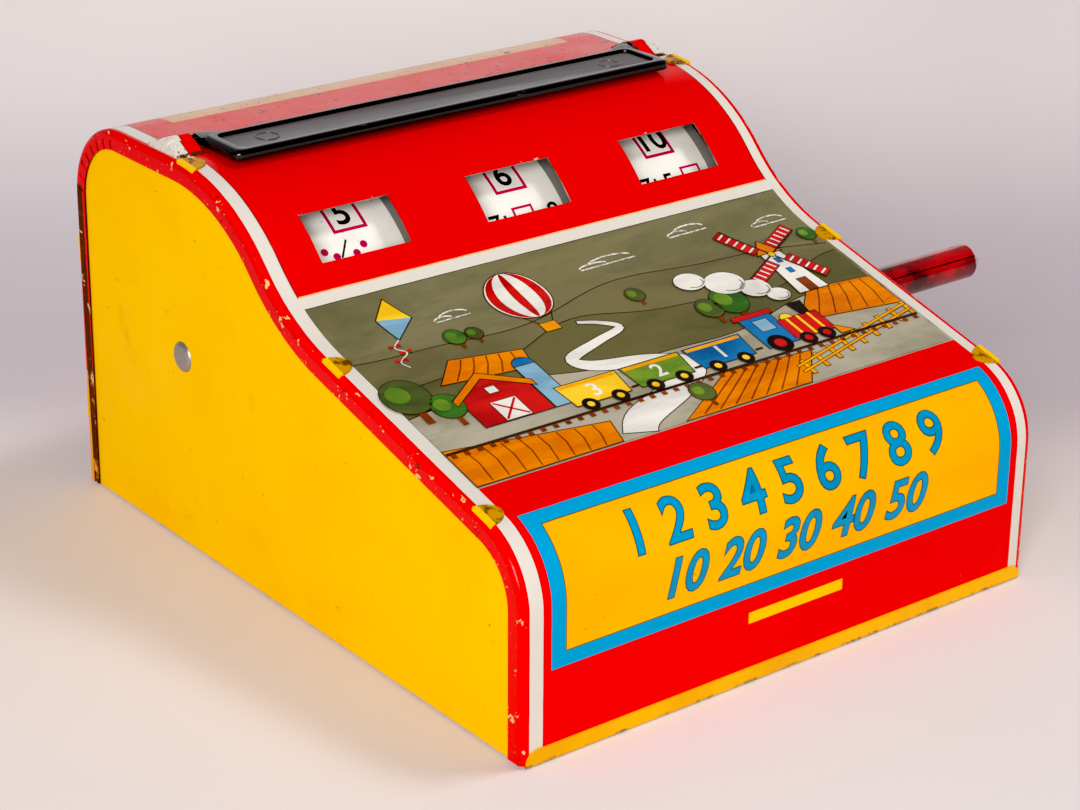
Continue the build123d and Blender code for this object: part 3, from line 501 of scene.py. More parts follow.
def metal(name, colour, stain, rough=0.35, grain=(1, 1, 1), scale=300, metallic=0.92):
    """Bare metal with a drawn or rolled grain and some staining."""
    m = Finish(name, Metallic=metallic)
    base = linear(*colour)
    streak = m.noise(scale, 4, 0.7, stretch=grain)
    stained = m.mix(m.ramp(m.noise(140, 4, 0.7), 0.55, 0.72), base, linear(*stain))
    paint = m.mix(m.ramp(streak, 0.3, 0.7), base, stained)
    m.set(Base_Color=paint, Roughness=m.ramp(streak, 0.2, 0.8, rough - 0.1, rough + 0.15))
    m.bump(streak, 0.02)
    return m.data


def arm_enamel():
    """Red enamel on the lever's arm, scratched through in places."""
    m = Finish("arm_red", Specular_IOR_Level=0.3)
    red = linear(188, 10, 8)
    darker = tuple(channel * 0.72 for channel in red[:3]) + (1.0,)
    paint = m.mix(m.ramp(m.noise(60, 4), 0.35, 0.7), red, darker)
    scratch = m.ramp(m.noise(240, 4, 0.75, stretch=(0.5, 1.5, 1.5)), 0.68, 0.73)
    paint = m.mix(scratch, paint, linear(120, 110, 100))
    m.set(Base_Color=paint, Roughness=m.blend(scratch, 0.3, 0.6))
    m.bump(m.math("ADD", m.noise(50, 2), m.math("MULTIPLY", scratch, -0.2)), 0.15)
    return m.data


def grip_paint():
    """Deep red enamel on the rolled grip, darker with handling and rubbed at its nose."""
    m = Finish("grip_red", Specular_IOR_Level=0.5, Coat_Weight=0.35, Coat_Roughness=0.05)
    shade = m.ramp(m.noise(110, 4, stretch=(0.6, 1, 1)), 0.4, 0.66)
    paint = m.mix(shade, linear(178, 0, 4), linear(70, 0, 4))
    wear = m.ramp(m.noise(300, 4, 0.8, stretch=(0.4, 1, 1)), 0.58, 0.66)
    paint = m.mix(wear, paint, linear(40, 10, 10))
    nose = m.both(m.within(m.x, *GRIP_NOSE), m.ramp(m.noise(420, 3), 0.5, 0.56))
    paint = m.mix(nose, paint, linear(200, 140, 110))
    m.set(Base_Color=paint, Roughness=m.blend(wear, 0.14, 0.5))
    m.bump(m.math("ADD", m.noise(90, 3), m.math("MULTIPLY", wear, -0.2)), 0.12)
    return m.data


def ear_print():
    """Red ears with the white stripe on their outer slope, rusty where they were lanced."""
    m = Finish("ear_print", Specular_IOR_Level=0.3, Coat_Weight=0.04, Coat_Roughness=0.1)
    paint = m.mix(m.ramp(m.noise(60, 2), 0.3, 0.7), RED, DEEP_RED)
    soiled = m.mix(m.ramp(m.noise(1100, 2, 0.6), 0.64, 0.67), WHITE, linear(80, 56, 42))
    paint = m.mix(m.within(m.reach, *EAR_STRIPE), paint, soiled)
    paint = m.mix(m.within(m.reach, *EAR_LINE), paint, linear(120, 40, 30))
    middle = m.within(m.front, EAR_FRONT + EAR_LIP, EAR_REAR - EAR_LIP)
    lanced = m.both(m.math("SUBTRACT", 1.0, middle), m.ramp(m.noise(300, 4, 0.7), 0.4, 0.5))
    mouth = m.both(m.within(m.reach, *EAR_MOUTH), m.ramp(m.noise(420, 3), 0.45, 0.55))
    rust = m.either(lanced, mouth)
    m.set(Base_Color=m.mix(rust, paint, RUST), Roughness=m.blend(rust, 0.26, 0.7))
    m.bump(m.math("SUBTRACT", m.noise(40, 2), m.math("MULTIPLY", rust, 0.1)), 0.2)
    return m.data


def black_plastic():
    """Moulded black plastic: a recess painted lighter for its haze and a painted sheen, fine scratches
    and polished rims.
    """
    m = Finish("flap_black", Specular_IOR_Level=0.6)
    side, front, rear = [rim + RECESS_MARGIN for rim in FLAP_RIM]
    recess = m.both(
        m.below(m.reach, FLAP_HALF - side),
        m.within(m.front, FLAP_FRONT + front, FLAP_REAR - rear),
        m.above(m.z, RECESS_BOTTOM),
    )
    # Haze and painted sheen: the recess floor is painted lighter, while the rims stay darker.
    cloudy = m.ramp(m.noise(45, 5, 0.65, stretch=(0.3, 1.5, 1.5)), 0.3, 0.75, 0.45, 1.0)
    haze_and_sheen = m.both(recess, cloudy)
    paint = m.mix(haze_and_sheen, linear(10, 5, 5), linear(60, 42, 41))
    scratch = m.ramp(m.noise(520, 3, 0.8, stretch=(0.12, 1, 1)), 0.66, 0.72)
    paint = m.mix(scratch, paint, linear(74, 66, 68))
    rough = m.math("ADD", m.math("MULTIPLY", scratch, 0.2), m.ramp(haze_and_sheen, 0, 1, 0.13, 0.38))
    m.set(Base_Color=paint, Roughness=rough)
    m.bump(m.math("ADD", m.noise(30, 2), m.math("MULTIPLY", m.noise(600, 3), 0.02)), 0.12)
    return m.data


def band_paper():
    """White printed number band, slightly soiled."""
    m = Finish("band_white", Specular_IOR_Level=0.2)
    soil = m.ramp(m.noise(90, 5, 0.6), 0.4, 0.8)
    paint = m.mix(soil, linear(250, 245, 234), linear(237, 231, 219))
    specks = m.ramp(m.noise(800, 2), 0.74, 0.77)
    paint = m.mix(specks, paint, linear(120, 108, 92))
    m.set(Base_Color=paint, Roughness=m.ramp(soil, 0, 1, 0.4, 0.55))
    m.bump(m.noise(200, 3), 0.02)
    return m.data


def ink(name, colour, other, grain=60):
    """Printed ink with the streaks of a painted original."""
    m = Finish("ink_" + name, Specular_IOR_Level=0.25)
    streaks = m.noise(grain, 5, 0.65, stretch=(0.5, 1.5, 1.0), warp=0.5)
    paint = m.mix(m.ramp(streaks, 0.36, 0.68), linear(*colour), linear(*other))
    specks = m.ramp(m.noise(900, 2), 0.76, 0.79)
    paint = m.mix(specks, paint, linear(80, 62, 46))
    m.set(Base_Color=paint, Roughness=m.ramp(m.noise(40, 4), 0.3, 0.8, 0.27, 0.41))
    return m.data


def chalk_ink():
    """Chalk strokes that let the board through."""
    m = Finish("ink_chalk", Roughness=0.5)
    grain = m.ramp(m.noise(900, 3, 0.8), 0.38, 0.6)
    m.set(Base_Color=m.mix(grain, linear(150, 150, 128), linear(236, 234, 220)))
    return m.data


FURROW_GRAIN = 90
HILL_GRAIN = 34
INK_TONES = {
    "line": ((62, 36, 18), (40, 24, 14)),
    "orange": ((232, 132, 6), (206, 102, 8), FURROW_GRAIN),
    "amber": ((244, 168, 20), (224, 132, 8), FURROW_GRAIN),
    "brown": ((140, 62, 16), (104, 42, 14), FURROW_GRAIN),
    "red": ((206, 30, 26), (160, 18, 20)),
    "blue": ((24, 118, 176), (14, 82, 136)),
    "sky": ((134, 176, 196), (96, 142, 172)),
    "green": ((70, 122, 36), (42, 88, 30)),
    "white": ((236, 232, 220), (208, 204, 194)),
    "yellow": ((246, 204, 48), (226, 172, 26)),
    "shade": ((120, 118, 106), (96, 92, 80)),
    "far_hill": ((118, 109, 72), (98, 92, 58), HILL_GRAIN),
    "hill": ((104, 98, 58), (84, 82, 46), HILL_GRAIN),
    "near_hill": ((176, 168, 146), (142, 134, 112), HILL_GRAIN),
    "olive": ((92, 104, 48), (62, 74, 34), FURROW_GRAIN),
    "leaf": ((120, 150, 44), (84, 120, 34), FURROW_GRAIN),
    "title": ((2, 146, 190), (2, 132, 176)),
    "title_edge": ((14, 84, 90), (20, 70, 70)),
    "black": ((24, 20, 18), (34, 28, 24)),
    "magenta": ((206, 0, 84), (180, 0, 70)),
}
INKS = {name: ink(name, *tones) for name, tones in INK_TONES.items()}
INKS["chalk"] = chalk_ink()


def dress_nodes():
    """Gives every CAD node its material."""
    turned = metal("turned_steel", (176, 168, 158), (120, 96, 70), 0.34, (1, 0.3, 1), 500)
    rolled = metal("rolled_steel", (140, 134, 126), (110, 86, 60), 0.38, (1, 0.25, 1), 350)
    groups = (
        (case_litho(), "case_shell"),
        (yellow_tin(), "left_side_panel right_side_panel"),
        (base_tin(), "base_plate"),
        (black_plastic(), "answer_flap"),
        (arm_enamel(), "lever_arm"),
        (grip_paint(), "lever_grip"),
        (band_paper(), "number_wheel_left number_wheel_centre number_wheel_right"),
        (metal("tin_core", (158, 152, 146), (112, 104, 94), 0.5, (0.3, 1, 1), 90, 0.35), "drum_core"),
        (metal("tin_disc", (150, 148, 142), (104, 92, 76), 0.4),
         "drum_end_disc_left drum_end_disc_right"),
        (metal("spring_steel", (112, 110, 112), (80, 66, 56), 0.3),
         "pawl_spring lever_return_spring drum_drag_spring"),
        (turned, "drum_axle axle_spacer axle_cap_washer lever_hub pawl_pin pawl_spring_post"),
        (turned, "spring_peg spring_anchor_stud lever_stop_studs drag_spring_rivet"),
        (rolled, "drum_tube ratchet_wheel drive_plate pawl"),
    )
    for material, names in groups:
        for name in names.split():
            mesh = nodes[name].data
            mesh.materials.clear()
            mesh.materials.append(material)
            soften(mesh, CAD_EDGE)


def soften(mesh, edge):
    """Smooth shading on the curved faces, with edges sharper than an angle kept crisp."""
    for face in mesh.polygons:
        face.use_smooth = True
    mesh.set_sharp_from_angle(angle=edge)


# Thin inks laid on the tin

def on_case(across, along, lift):
    """Point on the case's skin: along runs up the outline from the top of the front wall."""
    if along < 0:
        place, normal = Vector((0, FRONT_WALL + along)), Vector((-1, 0))
    elif along < NOSE_LENGTH:
        turned = along / NOSE_RADIUS
        normal = Vector((-cos(turned), sin(turned)))
        place = NOSE + normal * NOSE_RADIUS
    elif along < NOSE_LENGTH + VALLEY_RUN:
        normal = SLOPE_UP
        place = SLOPE_START + SLOPE_ALONG * (along - NOSE_LENGTH)
    else:
        turned = SLOPE + (along - NOSE_LENGTH - VALLEY_RUN) / VALLEY_RADIUS
        normal = Vector((-sin(turned), cos(turned)))
        place = VALLEY - normal * VALLEY_RADIUS
    spot = place + normal * lift
    return Vector((across, spot.x - HALF_DEPTH, spot.y))


def on_wheel(across, along, lift):
    """Point on a number band: along is the arc from the horizontal at the front."""
    turned = along / WHEEL_RADIUS
    reach = WHEEL_RADIUS + lift
    return Vector((across, AXLE.x - HALF_DEPTH - reach * cos(turned), AXLE.y + reach * sin(turned)))


def added(name, data):
    """A new object in the scene."""
    holder = bpy.data.objects.new(name, data)
    bpy.context.scene.collection.objects.link(holder)
    return holder


def piece_of(mesh, body, slot):
    """A new piece that rides on a body; the slot is not used."""
    piece = added(mesh.name, mesh)
    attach(piece, body)
    return piece


class Print:
    """Flat shapes in several inks, bent onto a surface and given the ink's thickness."""

    def __init__(self, name, surface, body, slot):
        self.name, self.surface, self.body, self.slot = name, surface, body, slot
        self.mesh = bmesh.new()
        self.inks = []

    def index(self, colour):
        if colour not in self.inks:
            self.inks.append(colour)
        return self.inks.index(colour)

    def shape(self, corners, colour, layer=1):
        """A closed outline filled with ink."""
        corners = [Vector((corner[0], corner[1])) for corner in corners]
        if twice_area(corners) < 0:
            corners.reverse()
        points = [self.mesh.verts.new((corner.x, corner.y, layer)) for corner in corners]
        face = self.mesh.faces.new(points)
        face.material_index = self.index(colour)

    def edged(self, corners, colour, layer, rim=0.35):
        """A filled outline with a drawn line round it."""
        self.shape(widened(corners, rim), "line", layer)
        self.shape(corners, colour, layer + 1)

    def square(self, x, y, size, line, colour):
        """A square outline made of four bars."""
        middle = (size - line) / 2
        for side in (-1, 1):
            self.shape(bar(x + side * middle, y, line, size), colour)
            self.shape(bar(x, y + side * middle, size - 2 * line, line), colour)

    def stroke(self, points, width, colour, layer=1):
        """A line of a given width along points."""
        self.shape(ribbon(points, [width] * len(points)), colour, layer)

    def text(self, words, x, y, height, colour, layer=1, bold=0.0, shear=0.0):
        """Numerals centred on a point."""
        curve = bpy.data.curves.new("lettering", "FONT")
        curve.body = words
        curve.size = height * FONT_SCALE
        curve.align_x = "CENTER"
        curve.align_y = "CENTER"
        curve.offset = bold
        curve.shear = shear
        curve.resolution_u = 4
        holder = bpy.data.objects.new("lettering", curve)
        flat = bpy.data.meshes.new_from_object(holder)
        colour_index = self.index(colour)
        points = [self.mesh.verts.new((v.co.x + x, v.co.y + y, layer)) for v in flat.vertices]
        for polygon in flat.polygons:
            face = self.mesh.faces.new([points[corner] for corner in polygon.vertices])
            face.material_index = colour_index
        bpy.data.objects.remove(holder)
        bpy.data.curves.remove(curve)
        bpy.data.meshes.remove(flat)

    def cut(self, step):
        """Cuts the shapes into strips across the bend, so that they can follow it."""
        mesh = self.mesh
        heights = [vertex.co.y for vertex in mesh.verts]
        level = min(heights) + step
        while level < max(heights):
            parts = mesh.verts[:] + mesh.edges[:] + mesh.faces[:]
            bmesh.ops.bisect_plane(
                mesh, geom=parts, dist=0.0001, plane_co=(0, level, 0), plane_no=(0, 1, 0)
            )
            level += step

    def thicken(self):
        """Doubles the flat shapes into closed slabs and gives the corners of their tops."""
        mesh = self.mesh
        bmesh.ops.recalc_face_normals(mesh, faces=mesh.faces)
        down = [face for face in mesh.faces if face.normal.z < 0]
        bmesh.ops.reverse_faces(mesh, faces=down)
        grown = bmesh.ops.extrude_face_region(mesh, geom=mesh.faces[:], use_keep_orig=True)
        tops = {part for part in grown["geom"] if isinstance(part, bmesh.types.BMVert)}
        for face in mesh.faces:
            if not any(vertex in tops for vertex in face.verts):
                face.normal_flip()
        return tops

    def lay(self, step=2.5, ground=0.06, layer_height=0.02):
        """The finished piece: its shapes cut, thickened and wrapped round the surface."""
        mesh = self.mesh
        bmesh.ops.remove_doubles(mesh, verts=mesh.verts, dist=0.001)
        bmesh.ops.triangulate(mesh, faces=mesh.faces)
        self.cut(step)
        bmesh.ops.triangulate(mesh, faces=mesh.faces)
        tops = self.thicken()
        for vertex in mesh.verts:
            layer = vertex.co.z if vertex in tops else vertex.co.z - 1
            lift = ground + layer * layer_height
            vertex.co = self.surface(vertex.co.x, vertex.co.y, lift) * MM
        data = bpy.data.meshes.new(self.name)
        mesh.to_mesh(data)
        mesh.free()
        for colour in self.inks:
            data.materials.append(INKS[colour])
        return piece_of(data, self.body, self.slot)


def twice_area(corners):
    """Twice an outline's area, which is negative where it runs clockwise."""
    return sum(a.x * b.y - b.x * a.y for a, b in zip(corners, corners[1:] + corners[:1]))


def bar(x, y, width, height):
    """Corners of an upright rectangle about its middle."""
    return [
        (x - width / 2, y - height / 2), (x + width / 2, y - height / 2),
        (x + width / 2, y + height / 2), (x - width / 2, y + height / 2),
    ]


def oval(x, y, width, height, start=0.0, end=2 * pi, steps=28):
    """Points round an ellipse, or along an arc of it."""
    closed = end - start > 2 * pi - 0.001
    turns = [start + (end - start) * step / steps for step in range(steps if closed else steps + 1)]
    return [(x + width / 2 * cos(turn), y + height / 2 * sin(turn)) for turn in turns]


def widened(corners, margin):
    """An outline moved outward by a margin, with sharp corners held back."""
    points = [Vector((corner[0], corner[1])) for corner in corners]
    if twice_area(points) < 0:
        points.reverse()
    result = []
    for place, point in enumerate(points):
        before = (point - points[place - 1]).normalized()
        after = (points[(place + 1) % len(points)] - point).normalized()
        outward = Vector((before.y + after.y, -before.x - after.x))
        if outward.length < 0.01:
            outward = Vector((before.y, -before.x))
        share = max(SHARPEST_CORNER, outward.length / 2)
        result.append(point + outward.normalized() * margin / share)
    return result


def ribbon(points, widths):
    """Outline of a line along points, with its width at each of them."""
    points = [Vector((point[0], point[1])) for point in points]
    left, right = [], []
    for place, (point, width) in enumerate(zip(points, widths)):
        before = points[max(place - 1, 0)]
        after = points[min(place + 1, len(points) - 1)]
        along = (after - before).normalized()
        across = Vector((-along.y, along.x)) * width / 2
        left.append(point + across)
        right.append(point - across)
    return left + right[::-1]


def picture(name):
    """A print on the case's picture, whose shapes count up from the picture's lower edge."""
    def surface(across, along, lift):
        return on_case(across, along + PICTURE_START, lift)
    return Print(name, surface, "case", "case_print")


def land_line(base, swell, wave, phase):
    """Points of a rolling horizon from one edge of the picture to the other."""
    count = 46
    return [
        (x, base + swell * sin(wave * x + phase) + swell * 0.3 * sin(2.3 * wave * x + 1.7 * phase))
        for x in (-LAND_HALF + 2 * LAND_HALF * step / count for step in range(count + 1))
    ]


def land(p, top, colour, layer):
    """Land from a line down to the picture's foot, with a drawn upper edge."""
    foot = [(LAND_HALF, LAND_FOOT), (-LAND_HALF, LAND_FOOT)]
    p.shape(top + foot, colour, layer)
    p.stroke(top, 0.35, "line", layer + 1)


def hills():
    """Far hills, a pale field and a white road that winds up between them."""
    p = picture("print_hills")
    land(p, land_line(58, 4.0, 0.045, 0.6), "far_hill", LAND_LAYER)
    land(p, land_line(46, 4.5, 0.06, 2.2), "hill", LAND_LAYER + 2)
    land(p, land_line(31, 3.4, 0.05, 4.4), "near_hill", LAND_LAYER + 4)
    bends = [(-30, 0.6), (-24, 7), (-6, 14), (4, 21), (-6, 27), (-22, 31), (-26, 36), (-14, 40),
             (-4, 43), (-8, 47), (-14, 49.5)]
    widths = [9.5, 9, 8, 6.6, 5.4, 4.4, 3.6, 2.8, 2.2, 1.6, 1.2]
    spread = curve_through([(width, 0) for width in widths], 6)
    road = ribbon(curve_through(bends, 6), [width for width, _ in spread])
    p.edged([corner for corner in road if corner.y > LAND_FOOT], "white", ROAD_LAYER, rim=0.3)
    return p.lay()


def curve_through(points, steps):
    """Points on a smooth curve through some others."""
    result = []
    for place in range(len(points) - 1):
        ring = [points[max(place - 1, 0)], points[place], points[place + 1]]
        ring.append(points[min(place + 2, len(points) - 1)])
        for step in range(steps):
            t = step / steps
            result.append(tuple(
                0.5 * (2 * b + (c - a) * t + (2 * a - 5 * b + 4 * c - d) * t * t
                       + (3 * b - a - 3 * c + d) * t**3)
                for a, b, c, d in zip(*ring)
            ))
    return result + [points[-1]]


def ploughed(p, corners, lines):
    """A four-cornered field with furrows from its first side to its third."""
    p.edged(corners, "orange", FIELD_LAYER)
    a, b, c, d = [Vector(corner) for corner in corners]
    for line in range(1, lines):
        share = line / lines
        start, end = a.lerp(b, share), d.lerp(c, share)
        bend = (start + end) / 2 + Vector((0.8, 0.5))
        furrow = [start.lerp(end, 0.03), bend, start.lerp(end, 0.97)]
        p.stroke(furrow, 0.45, "brown", FIELD_LAYER + 2)


def fields():
    """Orange fields on both sides of the road, and a fence."""
    p = picture("print_fields")
    edge = FIELD_HALF
    ploughed(p, [(-edge, 0.8), (-36, 0.8), (-34, 9), (-edge, 16)], 9)
    ploughed(p, [(-14, 0.8), (30, 0.8), (40, 12.5), (10, 14)], 8)
    ploughed(p, [(48, 25), (edge, 21), (edge, 35), (60, 37)], 6)
    ploughed(p, [(-66, 40), (-38, 37.5), (-36, 45), (-58, 48.5)], 6)
    for post in range(9):
        p.edged(bar(34 + post * 6, 6.6 + post * 1.4, 1.3, 6.2), "amber", FENCE_LAYER, rim=0.25)
    for height in (1.8, 4.4):
        low, high = 3.4 + height, 15.4 + height
        p.stroke([(31, low), (edge, high)], 1.1, "line", FENCE_LAYER + 2)
        p.stroke([(31.2, low), (edge - 0.2, high)], 0.7, "amber", FENCE_LAYER + 3)
    return p.lay()


def tree(p, x, y, size, colour):
    """A round tree on a trunk, lit from the left."""
    p.shape(bar(x, y + size * 0.25, size * 0.14, size * 0.5), "brown", TREE_LAYER)
    crown = oval(x, y + size * 0.72, size * 0.8, size * 0.86, steps=22)
    p.edged(crown, colour, TREE_LAYER + 1, rim=0.3)
    lit = oval(x - size * 0.1, y + size * 0.8, size * 0.4, size * 0.42, steps=16)
    p.shape(lit, "leaf", TREE_LAYER + 3)


def trees():
    """Trees along the hills, as x, foot and height."""
    p = picture("print_trees")
    places = (
        (-78, 27, 17), (-70, 23, 12), (26, 33, 10), (34, 31, 14), (-44, 52, 6), (-50, 51.5, 7.5),
        (10, 49, 7), (80, 55, 7), (-2, 3, 9),
    )
    for place, (x, y, size) in enumerate(places):
        tree(p, x, y, size, "green" if place % 2 else "olive")
    return p.lay()


def barn():
    """A barn with an orange roof and a small silo."""
    p = picture("print_barn")
    x, y = -55, 20
    wall, trim = BUILDING_LAYER, BUILDING_LAYER + 4
    p.edged(bar(x + 15, y + 9.5, 6.4, 19), "sky", wall)
    p.edged(oval(x + 15, y + 19, 6.4, 6, 0, pi, 14), "blue", wall + 2)
    front = [(x - 11, y), (x + 11, y), (x + 11, y + 11), (x, y + 18), (x - 11, y + 11)]
    p.edged(front, "red", wall + 1)
    roof = [(x - 12.6, y + 10.4), (x, y + 18.4), (x + 12.6, y + 10.4), (x + 12.6, y + 12.6),
            (x, y + 20.8), (x - 12.6, y + 12.6)]
    p.edged(roof, "orange", trim)
    p.edged(bar(x, y + 4.2, 8, 8), "white", trim, rim=0.25)
    for low, high in ((0.6, 7.8), (7.8, 0.6)):
        p.stroke([(x - 3.6, y + low), (x + 3.6, y + high)], 0.7, "red", trim + 2)
    p.edged(bar(x, y + 13, 3, 2.6), "white", trim, rim=0.25)
    return p.lay()


def windmill():
    """A windmill with four slatted sails."""
    p = picture("print_windmill")
    x, y, height, layer = 62, 36, 20, BUILDING_LAYER
    top = y + height
    p.edged([(x - 5.4, y), (x + 5.4, y), (x + 3.4, top), (x - 3.4, top)], "white", layer)
    p.edged([(x - 4.4, top), (x + 4.4, top), (x, top + 6)], "orange", layer + 2)
    p.edged(bar(x, y + 3, 3.4, 6), "brown", layer + 3, rim=0.2)
    for level in (10.5, 16):
        p.edged(bar(x, y + level, 1.8, 2.2), "blue", layer + 3, rim=0.2)
    hub = Vector((x, top - 1))
    root, reach, chord = 4, 17, 4
    for quarter in range(4):
        angle = radians(28 + 90 * quarter)
        out, across = Vector((cos(angle), sin(angle))), Vector((-sin(angle), cos(angle)))
        p.stroke([hub, hub + out * reach], 0.6, "line", layer + 7)
        inner, outer = hub + out * root, hub + out * reach
        blade = [inner, outer, outer + across * chord, inner + across * chord]
        p.edged(blade, "red", layer + 5, rim=0.25)
        for slat in range(5):
            start = hub + out * (5.6 + slat * 2.5)
            p.stroke([start + across * 0.5, start + across * 3.6], 0.6, "white", layer + 8)
    p.edged(oval(hub.x, hub.y, 2.2, 2.2, steps=14), "yellow", layer + 9, rim=0.25)
    return p.lay()


def wagon(p, x, y, colour, number):
    """An open railway wagon with a plain number."""
    body = [(x, y + 3), (x + 18, y + 3), (x + 19, y + 12), (x - 1, y + 12)]
    p.edged(body, colour, WAGON_LAYER)
    p.shape(bar(x + 9, y + 11.2, 19, 1.2), "amber", WAGON_LAYER + 2)
    p.text(number, x + 9, y + 7.2, 5.4, "white", WAGON_LAYER + 2, bold=0.12)
    for wheel in (x + 4, x + 14):
        p.edged(oval(wheel, y + 2.4, 4.8, 4.8, steps=20), "black", WAGON_LAYER + 2, rim=0.2)
        p.shape(oval(wheel, y + 2.4, 2.2, 2.2, steps=14), "yellow", WAGON_LAYER + 4)


def engine(p, x, y):
    """A small steam engine that pulls to the right."""
    layer = WAGON_LAYER
    p.edged(bar(x + 6, y + 10, 11, 14), "blue", layer)
    p.edged(bar(x + 6, y + 17.6, 14, 1.8), "red", layer + 2, rim=0.25)
    p.edged(bar(x + 6.4, y + 12.4, 5, 5), "sky", layer + 2, rim=0.3)
    p.edged(bar(x + 18, y + 8, 15, 9), "red", layer)
    for band in (14.5, 18.5, 22.5):
        p.shape(bar(x + band, y + 8, 0.9, 9), "yellow", layer + 2)
    chimney = [(x + 20.6, y + 12.5), (x + 23.4, y + 12.5), (x + 24.4, y + 18), (x + 19.6, y + 18)]
    p.edged(chimney, "black", layer + 1)
    p.edged(oval(x + 15, y + 12.6, 4, 4, 0, pi, 10), "yellow", layer + 2, rim=0.25)
    p.edged([(x + 25.5, y + 0.6), (x + 30, y + 0.6), (x + 25.5, y + 4.6)], "orange", layer)
    for wheel, size in ((x + 5, 7.4), (x + 14.6, 5), (x + 21.4, 5)):
        p.edged(oval(wheel, y + size / 2, size, size, steps=22), "black", layer + 3, rim=0.2)
        p.shape(oval(wheel, y + size / 2, size / 2, size / 2, steps=16), "red", layer + 5)


def train():
    """Engine and three numbered wagons on a railway, with puffs of steam."""
    p = picture("print_train")
    start, rail, pitch = -38, 15.5, 22
    p.shape(bar(0, rail - 1.1, 2 * FIELD_HALF, 1), "line", SLEEPER_LAYER + 1)
    for sleeper in range(41):
        p.shape(bar(-81 + sleeper * 4.05, rail - 2.4, 1.6, 1.4), "brown", SLEEPER_LAYER)
    for place, colour in enumerate(("yellow", "leaf", "blue")):
        wagon(p, start + place * pitch, rail - 0.8, colour, str(3 - place))
        coupling = bar(start + place * pitch + 20.4, rail + 3.4, 2.6, 0.8)
        p.shape(coupling, "line", SLEEPER_LAYER + 2)
    engine(p, start + 67, rail - 0.6)
    for x, y, size in ((50, 38, 6), (45.5, 43, 8), (38.5, 48.5, 10.5), (29, 53, 8)):
        p.edged(oval(x, y, size * 1.25, size, steps=24), "white", STEAM_LAYER, rim=0.25)
        curl = oval(x + size * 0.1, y - size * 0.1, size * 0.8, size * 0.6, -2.4, 0.3, 10)
        p.stroke(curl, 0.35, "shade", STEAM_LAYER + 2)
    return p.lay()


def balloon():
    """A striped balloon, a kite and clouds over the hills."""
    p = picture("print_balloon")
    striped_balloon(p, -22, 66, 19.0, 20.0)
    kite(p)
    for x, y, reach in ((14, 71, 15), (46, 74.5, 11), (-44, 66, 9), (74, 70, 10)):
        cloud(p, x, y, reach)
    return p.lay()


def striped_balloon(p, x, y, width, height):
    """A white balloon with three red gores, over its basket."""
    p.edged(oval(x, y, width, height, steps=40), "white", SKY_LAYER)
    for gore in (-0.78, 0.0, 0.78):
        corners = [
            (x + width / 2 * (gore + shift) * cos(turn), y + height / 2 * sin(turn))
            for shift, turns in ((-0.16, range(-8, 9)), (0.16, range(8, -9, -1)))
            for turn in (step * pi / 17 for step in turns)
        ]
        p.shape(corners, "red", SKY_LAYER + 2)
    for side in (-1, 1):
        rope = [(x + side * 5, y - 8.6), (x + side * 2, y - 13.4)]
        p.stroke(rope, 0.3, "line", SKY_LAYER + 1)
    p.edged(bar(x, y - 15, 5, 3.6), "amber", SKY_LAYER + 2, rim=0.25)


def kite(p):
    """A kite with bows along its tail."""
    corners = [(-66, 71), (-60, 77.5), (-56, 69), (-64.5, 62)]
    p.edged(corners, "sky", SKY_LAYER)
    p.shape(corners[:3], "yellow", SKY_LAYER + 2)
    tail = curve_through([corners[3], (-68, 59), (-66, 56), (-70, 53), (-69, 50)], 5)
    p.stroke(tail, 0.35, "white", SKY_LAYER)
    for bow in (4, 9, 14):
        place = Vector(tail[bow])
        for side in (-1.8, 1.8):
            wing = [place + Vector((side, 0.9)), place, place + Vector((side, -0.9))]
            p.shape(wing, "red", SKY_LAYER + 2)


def cloud(p, x, y, reach):
    """A cloud drawn in chalk as two arcs over a line."""
    lines = (
        (oval(x, y, reach, 3.4, 0.1, 2.9, 14), 0.55),
        (oval(x - reach * 0.42, y - 1, reach * 0.7, 2.6, 0.4, 3.1, 12), 0.55),
        ([(x - reach * 0.75, y - 1.4), (x + reach * 0.55, y - 1.2)], 0.5),
    )
    for points, width in lines:
        p.stroke(points, width, "chalk", CLOUD_LAYER)


def title_numerals():
    """Two rows of plain numerals on the golden field."""
    p = Print("print_title", on_case, "case", "case_print")
    upper = [(str(number + 1), 1.0 + 13.0 * (number - 4)) for number in range(9)]
    lower = [(str(10 * (number + 1)), 1.0 + 19.6 * (number - 2)) for number in range(5)]
    for row, along, height, shear in ((upper, 11.6, 12.0, 0.0), (lower, -3.6, 10.6, 0.25)):
        for words, across in row:
            p.text(words, across, along, height, "title_edge", 1, bold=0.5, shear=shear)
            p.text(words, across, along, height, "title", 2, bold=0.2, shear=shear)
    return p.lay(step=1.5)


